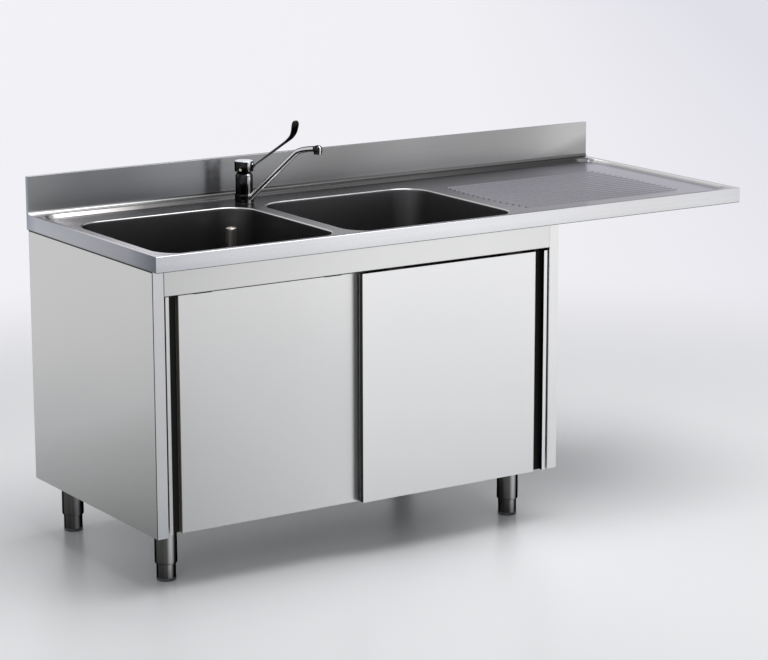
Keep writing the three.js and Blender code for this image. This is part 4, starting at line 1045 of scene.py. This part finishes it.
# Painted shadows: dark strips in the gaps where the side panels meet the front posts and the
# worktop.
shadow_strip("left_post_seam", (-899.1, -327.6, 150.5), (-899.1, -327.6, 809.5), 1.6, 0.8)
shadow_strip("right_post_seam", (299.3, -327.6, 150.5), (299.3, -327.6, 809.5), 1.2, 0.6)
shadow_strip("left_apron_seam", (-899.1, -329, 808.6), (-899.1, 340, 808.6), 1.4, 0.8)
shadow_strip("right_apron_seam", (299.3, -329, 808.6), (299.3, 340, 808.6), 1.2, 0.6)


def rivet_tree():
    """A row of rivet heads along a line."""
    tree = bpy.data.node_groups.new("rivet_row", "GeometryNodeTree")
    given = named_inputs(tree, **{
        "Count": 9, "Start X": 0.0, "Start Z": 0.0, "Step X": 0.1, "Step Z": 0.0, "Face Y": 0.341,
        "Radius": 0.004, "Rise": 0.0016})
    start = result(tree, "ShaderNodeCombineXYZ", {
        "X": given["Start X"], "Y": given["Face Y"], "Z": given["Start Z"]})
    step = result(tree, "ShaderNodeCombineXYZ", {"X": given["Step X"], "Z": given["Step Z"]})
    row = result(tree, "GeometryNodeMeshLine", {
        "Count": given["Count"], "Start Location": start, "Offset": step})
    dome = result(tree, "GeometryNodeMeshUVSphere", {
        "Segments": 24, "Rings": 12, "Radius": 1.0})
    size = result(tree, "ShaderNodeCombineXYZ", {
        "X": given["Radius"], "Y": given["Rise"], "Z": given["Radius"]})
    heads = result(tree, "GeometryNodeInstanceOnPoints", {
        "Points": row, "Instance": dome, "Scale": size})
    end_of_tree(tree, heads, given["Material"])
    return tree


rivets = rivet_tree()
# start x, start z, step x, step z in metres, and the count
ROWS = {"top": (-0.86, 0.79, 0.14, 0.0, 9), "bottom": (-0.86, 0.17, 0.14, 0.0, 9),
        "left": (-0.885, 0.28, 0.0, 0.1, 5), "right": (0.285, 0.28, 0.0, 0.1, 5)}
for side, (x, z, step_x, step_z, count) in ROWS.items():
    row = grown("back_rivets_" + side, rivets, zinc, **{
        "Count": count, "Start X": x, "Start Z": z, "Step X": step_x, "Step Z": step_z})
    finish_piece(smoothed(row, 60), "unit_frame", "plated_steel")

# ---------------------------------------------------------------- finishes of the shown nodes

FINISHES = {
    "side_panel": side_steel, "left_front_post": left_post_steel,
    "right_front_post": right_post_steel, "top_rail": rail_steel,
    "back_panel": hidden_steel, "bottom_shelf": shelf_steel, "inner_panel": hidden_steel,
    "stiffener": hidden_steel, "crossbar": hidden_steel, "foot_channel": hidden_steel,
    "door_track": track_shade_zinc, "hanger": track_shade_zinc, "drain_nut": zinc, "tap_nut": zinc,
    "wheel": nylon, "door_guide": nylon, "gasket": rubber, "tap_seal": rubber,
    "cartridge_carrier": zinc, "cartridge_stem": zinc,
}


def paint_nodes():
    """Gives each CAD node that is still shown the finish whose key is part of its name."""
    for name, node in nodes.items():
        if node.hide_render:
            continue
        for part, material in FINISHES.items():
            if part in name:
                for slot in node.material_slots:
                    slot.material = material


paint_nodes()

# ---------------------------------------------------------------- floor and light


def seen_rays(tree):
    path = add(tree, "ShaderNodeLightPath").outputs
    return math_node(tree, "MAXIMUM", path["Is Camera Ray"], math_node(
        tree, "MAXIMUM", path["Is Glossy Ray"], path["Is Transmission Ray"]))


def floor():
    """A pale floor that turns into an even pale backdrop away from the object."""
    bm = bmesh.new()
    corners = [bm.verts.new((x, y, 0)) for x, y in ((-60, -60), (60, -60), (60, 60), (-60, 60))]
    bm.faces.new(corners)
    material, tree, surface = new_material("floor")
    coords = add(tree, "ShaderNodeTexCoord").outputs["Object"]
    side = add(tree, "ShaderNodeVectorMath", {0: coords, 1: (0.84, -0.55, 0)},
               operation="DOT_PRODUCT").outputs["Value"]
    cloud = noise(tree, coords, 0.5, 1.0)
    base = ramp(tree, cloud, [(0.3, (0.82, 0.835, 0.85)), (0.7, (0.86, 0.87, 0.885))])
    tree.links.new(base, surface.inputs["Base Color"])
    surface.inputs["Roughness"].default_value = 0.3
    surface.inputs["Specular IOR Level"].default_value = 0.35
    across = result(tree, "ShaderNodeMapRange", {
        "Value": side, "From Min": -2.5, "From Max": 2.5})
    # Painted shade on the backdrop: darker towards the right.
    pale = ramp(tree, across, [
        (0.0, (0.89, 0.885, 0.92)), (0.6, (0.88, 0.875, 0.91)), (1.0, (0.75, 0.745, 0.81))])
    glossy = add(tree, "ShaderNodeLightPath").outputs["Is Glossy Ray"]
    mirrored = add(tree, "ShaderNodeMix", {"Factor": glossy}, data_type="RGBA")
    tree.links.new(pale, mirrored.inputs["A"])
    mirrored.inputs["B"].default_value = (0.92, 0.92, 0.92, 1)
    backdrop = result(tree, "ShaderNodeEmission", {
        "Color": mirrored.outputs["Result"], "Strength": 1.0})
    distance = add(tree, "ShaderNodeVectorMath", {0: coords}, operation="LENGTH").outputs["Value"]
    far = result(tree, "ShaderNodeMapRange", {
        "Value": distance, "From Min": 1.3, "From Max": 3.6},
              interpolation_type="SMOOTHERSTEP")
    share = math_node(tree, "MULTIPLY", far, seen_rays(tree))
    mixed = result(tree, "ShaderNodeMixShader", {
        0: share, 1: surface.outputs[0], 2: backdrop})
    tree.links.new(mixed, tree.nodes["Material Output"].inputs[0])
    new_object("floor", bm, material, 0)


def world():
    sky = bpy.data.worlds.new("studio")
    bpy.context.scene.world = sky
    sky.use_nodes = True
    tree = sky.node_tree
    tree.nodes.clear()
    light = result(tree, "ShaderNodeBackground", {
        "Color": (0.97, 0.98, 1, 1), "Strength": 0.33})
    shown = result(tree, "ShaderNodeBackground", {
        "Color": (0.92, 0.92, 0.94, 1), "Strength": 1.0})
    mixed = result(tree, "ShaderNodeMixShader", {0: seen_rays(tree), 1: light, 2: shown})
    tree.links.new(mixed, tree.nodes.new("ShaderNodeOutputWorld").inputs[0])


def lamp(name, spot, target, size, power):
    data = bpy.data.lights.new(name, "AREA")
    data.shape = "DISK"
    data.size = size
    data.energy = power
    made = bpy.data.objects.new(name, data)
    made.location = spot
    made.rotation_euler = (Vector(target) - Vector(spot)).to_track_quat("-Z", "Y").to_euler()
    bpy.context.scene.collection.objects.link(made)


floor()
world()
lamp("key", (0.5, -0.9, 5.0), (0.3, 0, 0), 4.0, 158)
lamp("fill", (-4.5, -3.5, 3.0), (0, 0, 0.5), 2.0, 34)

bpy.context.scene.view_settings.view_transform = "Standard"
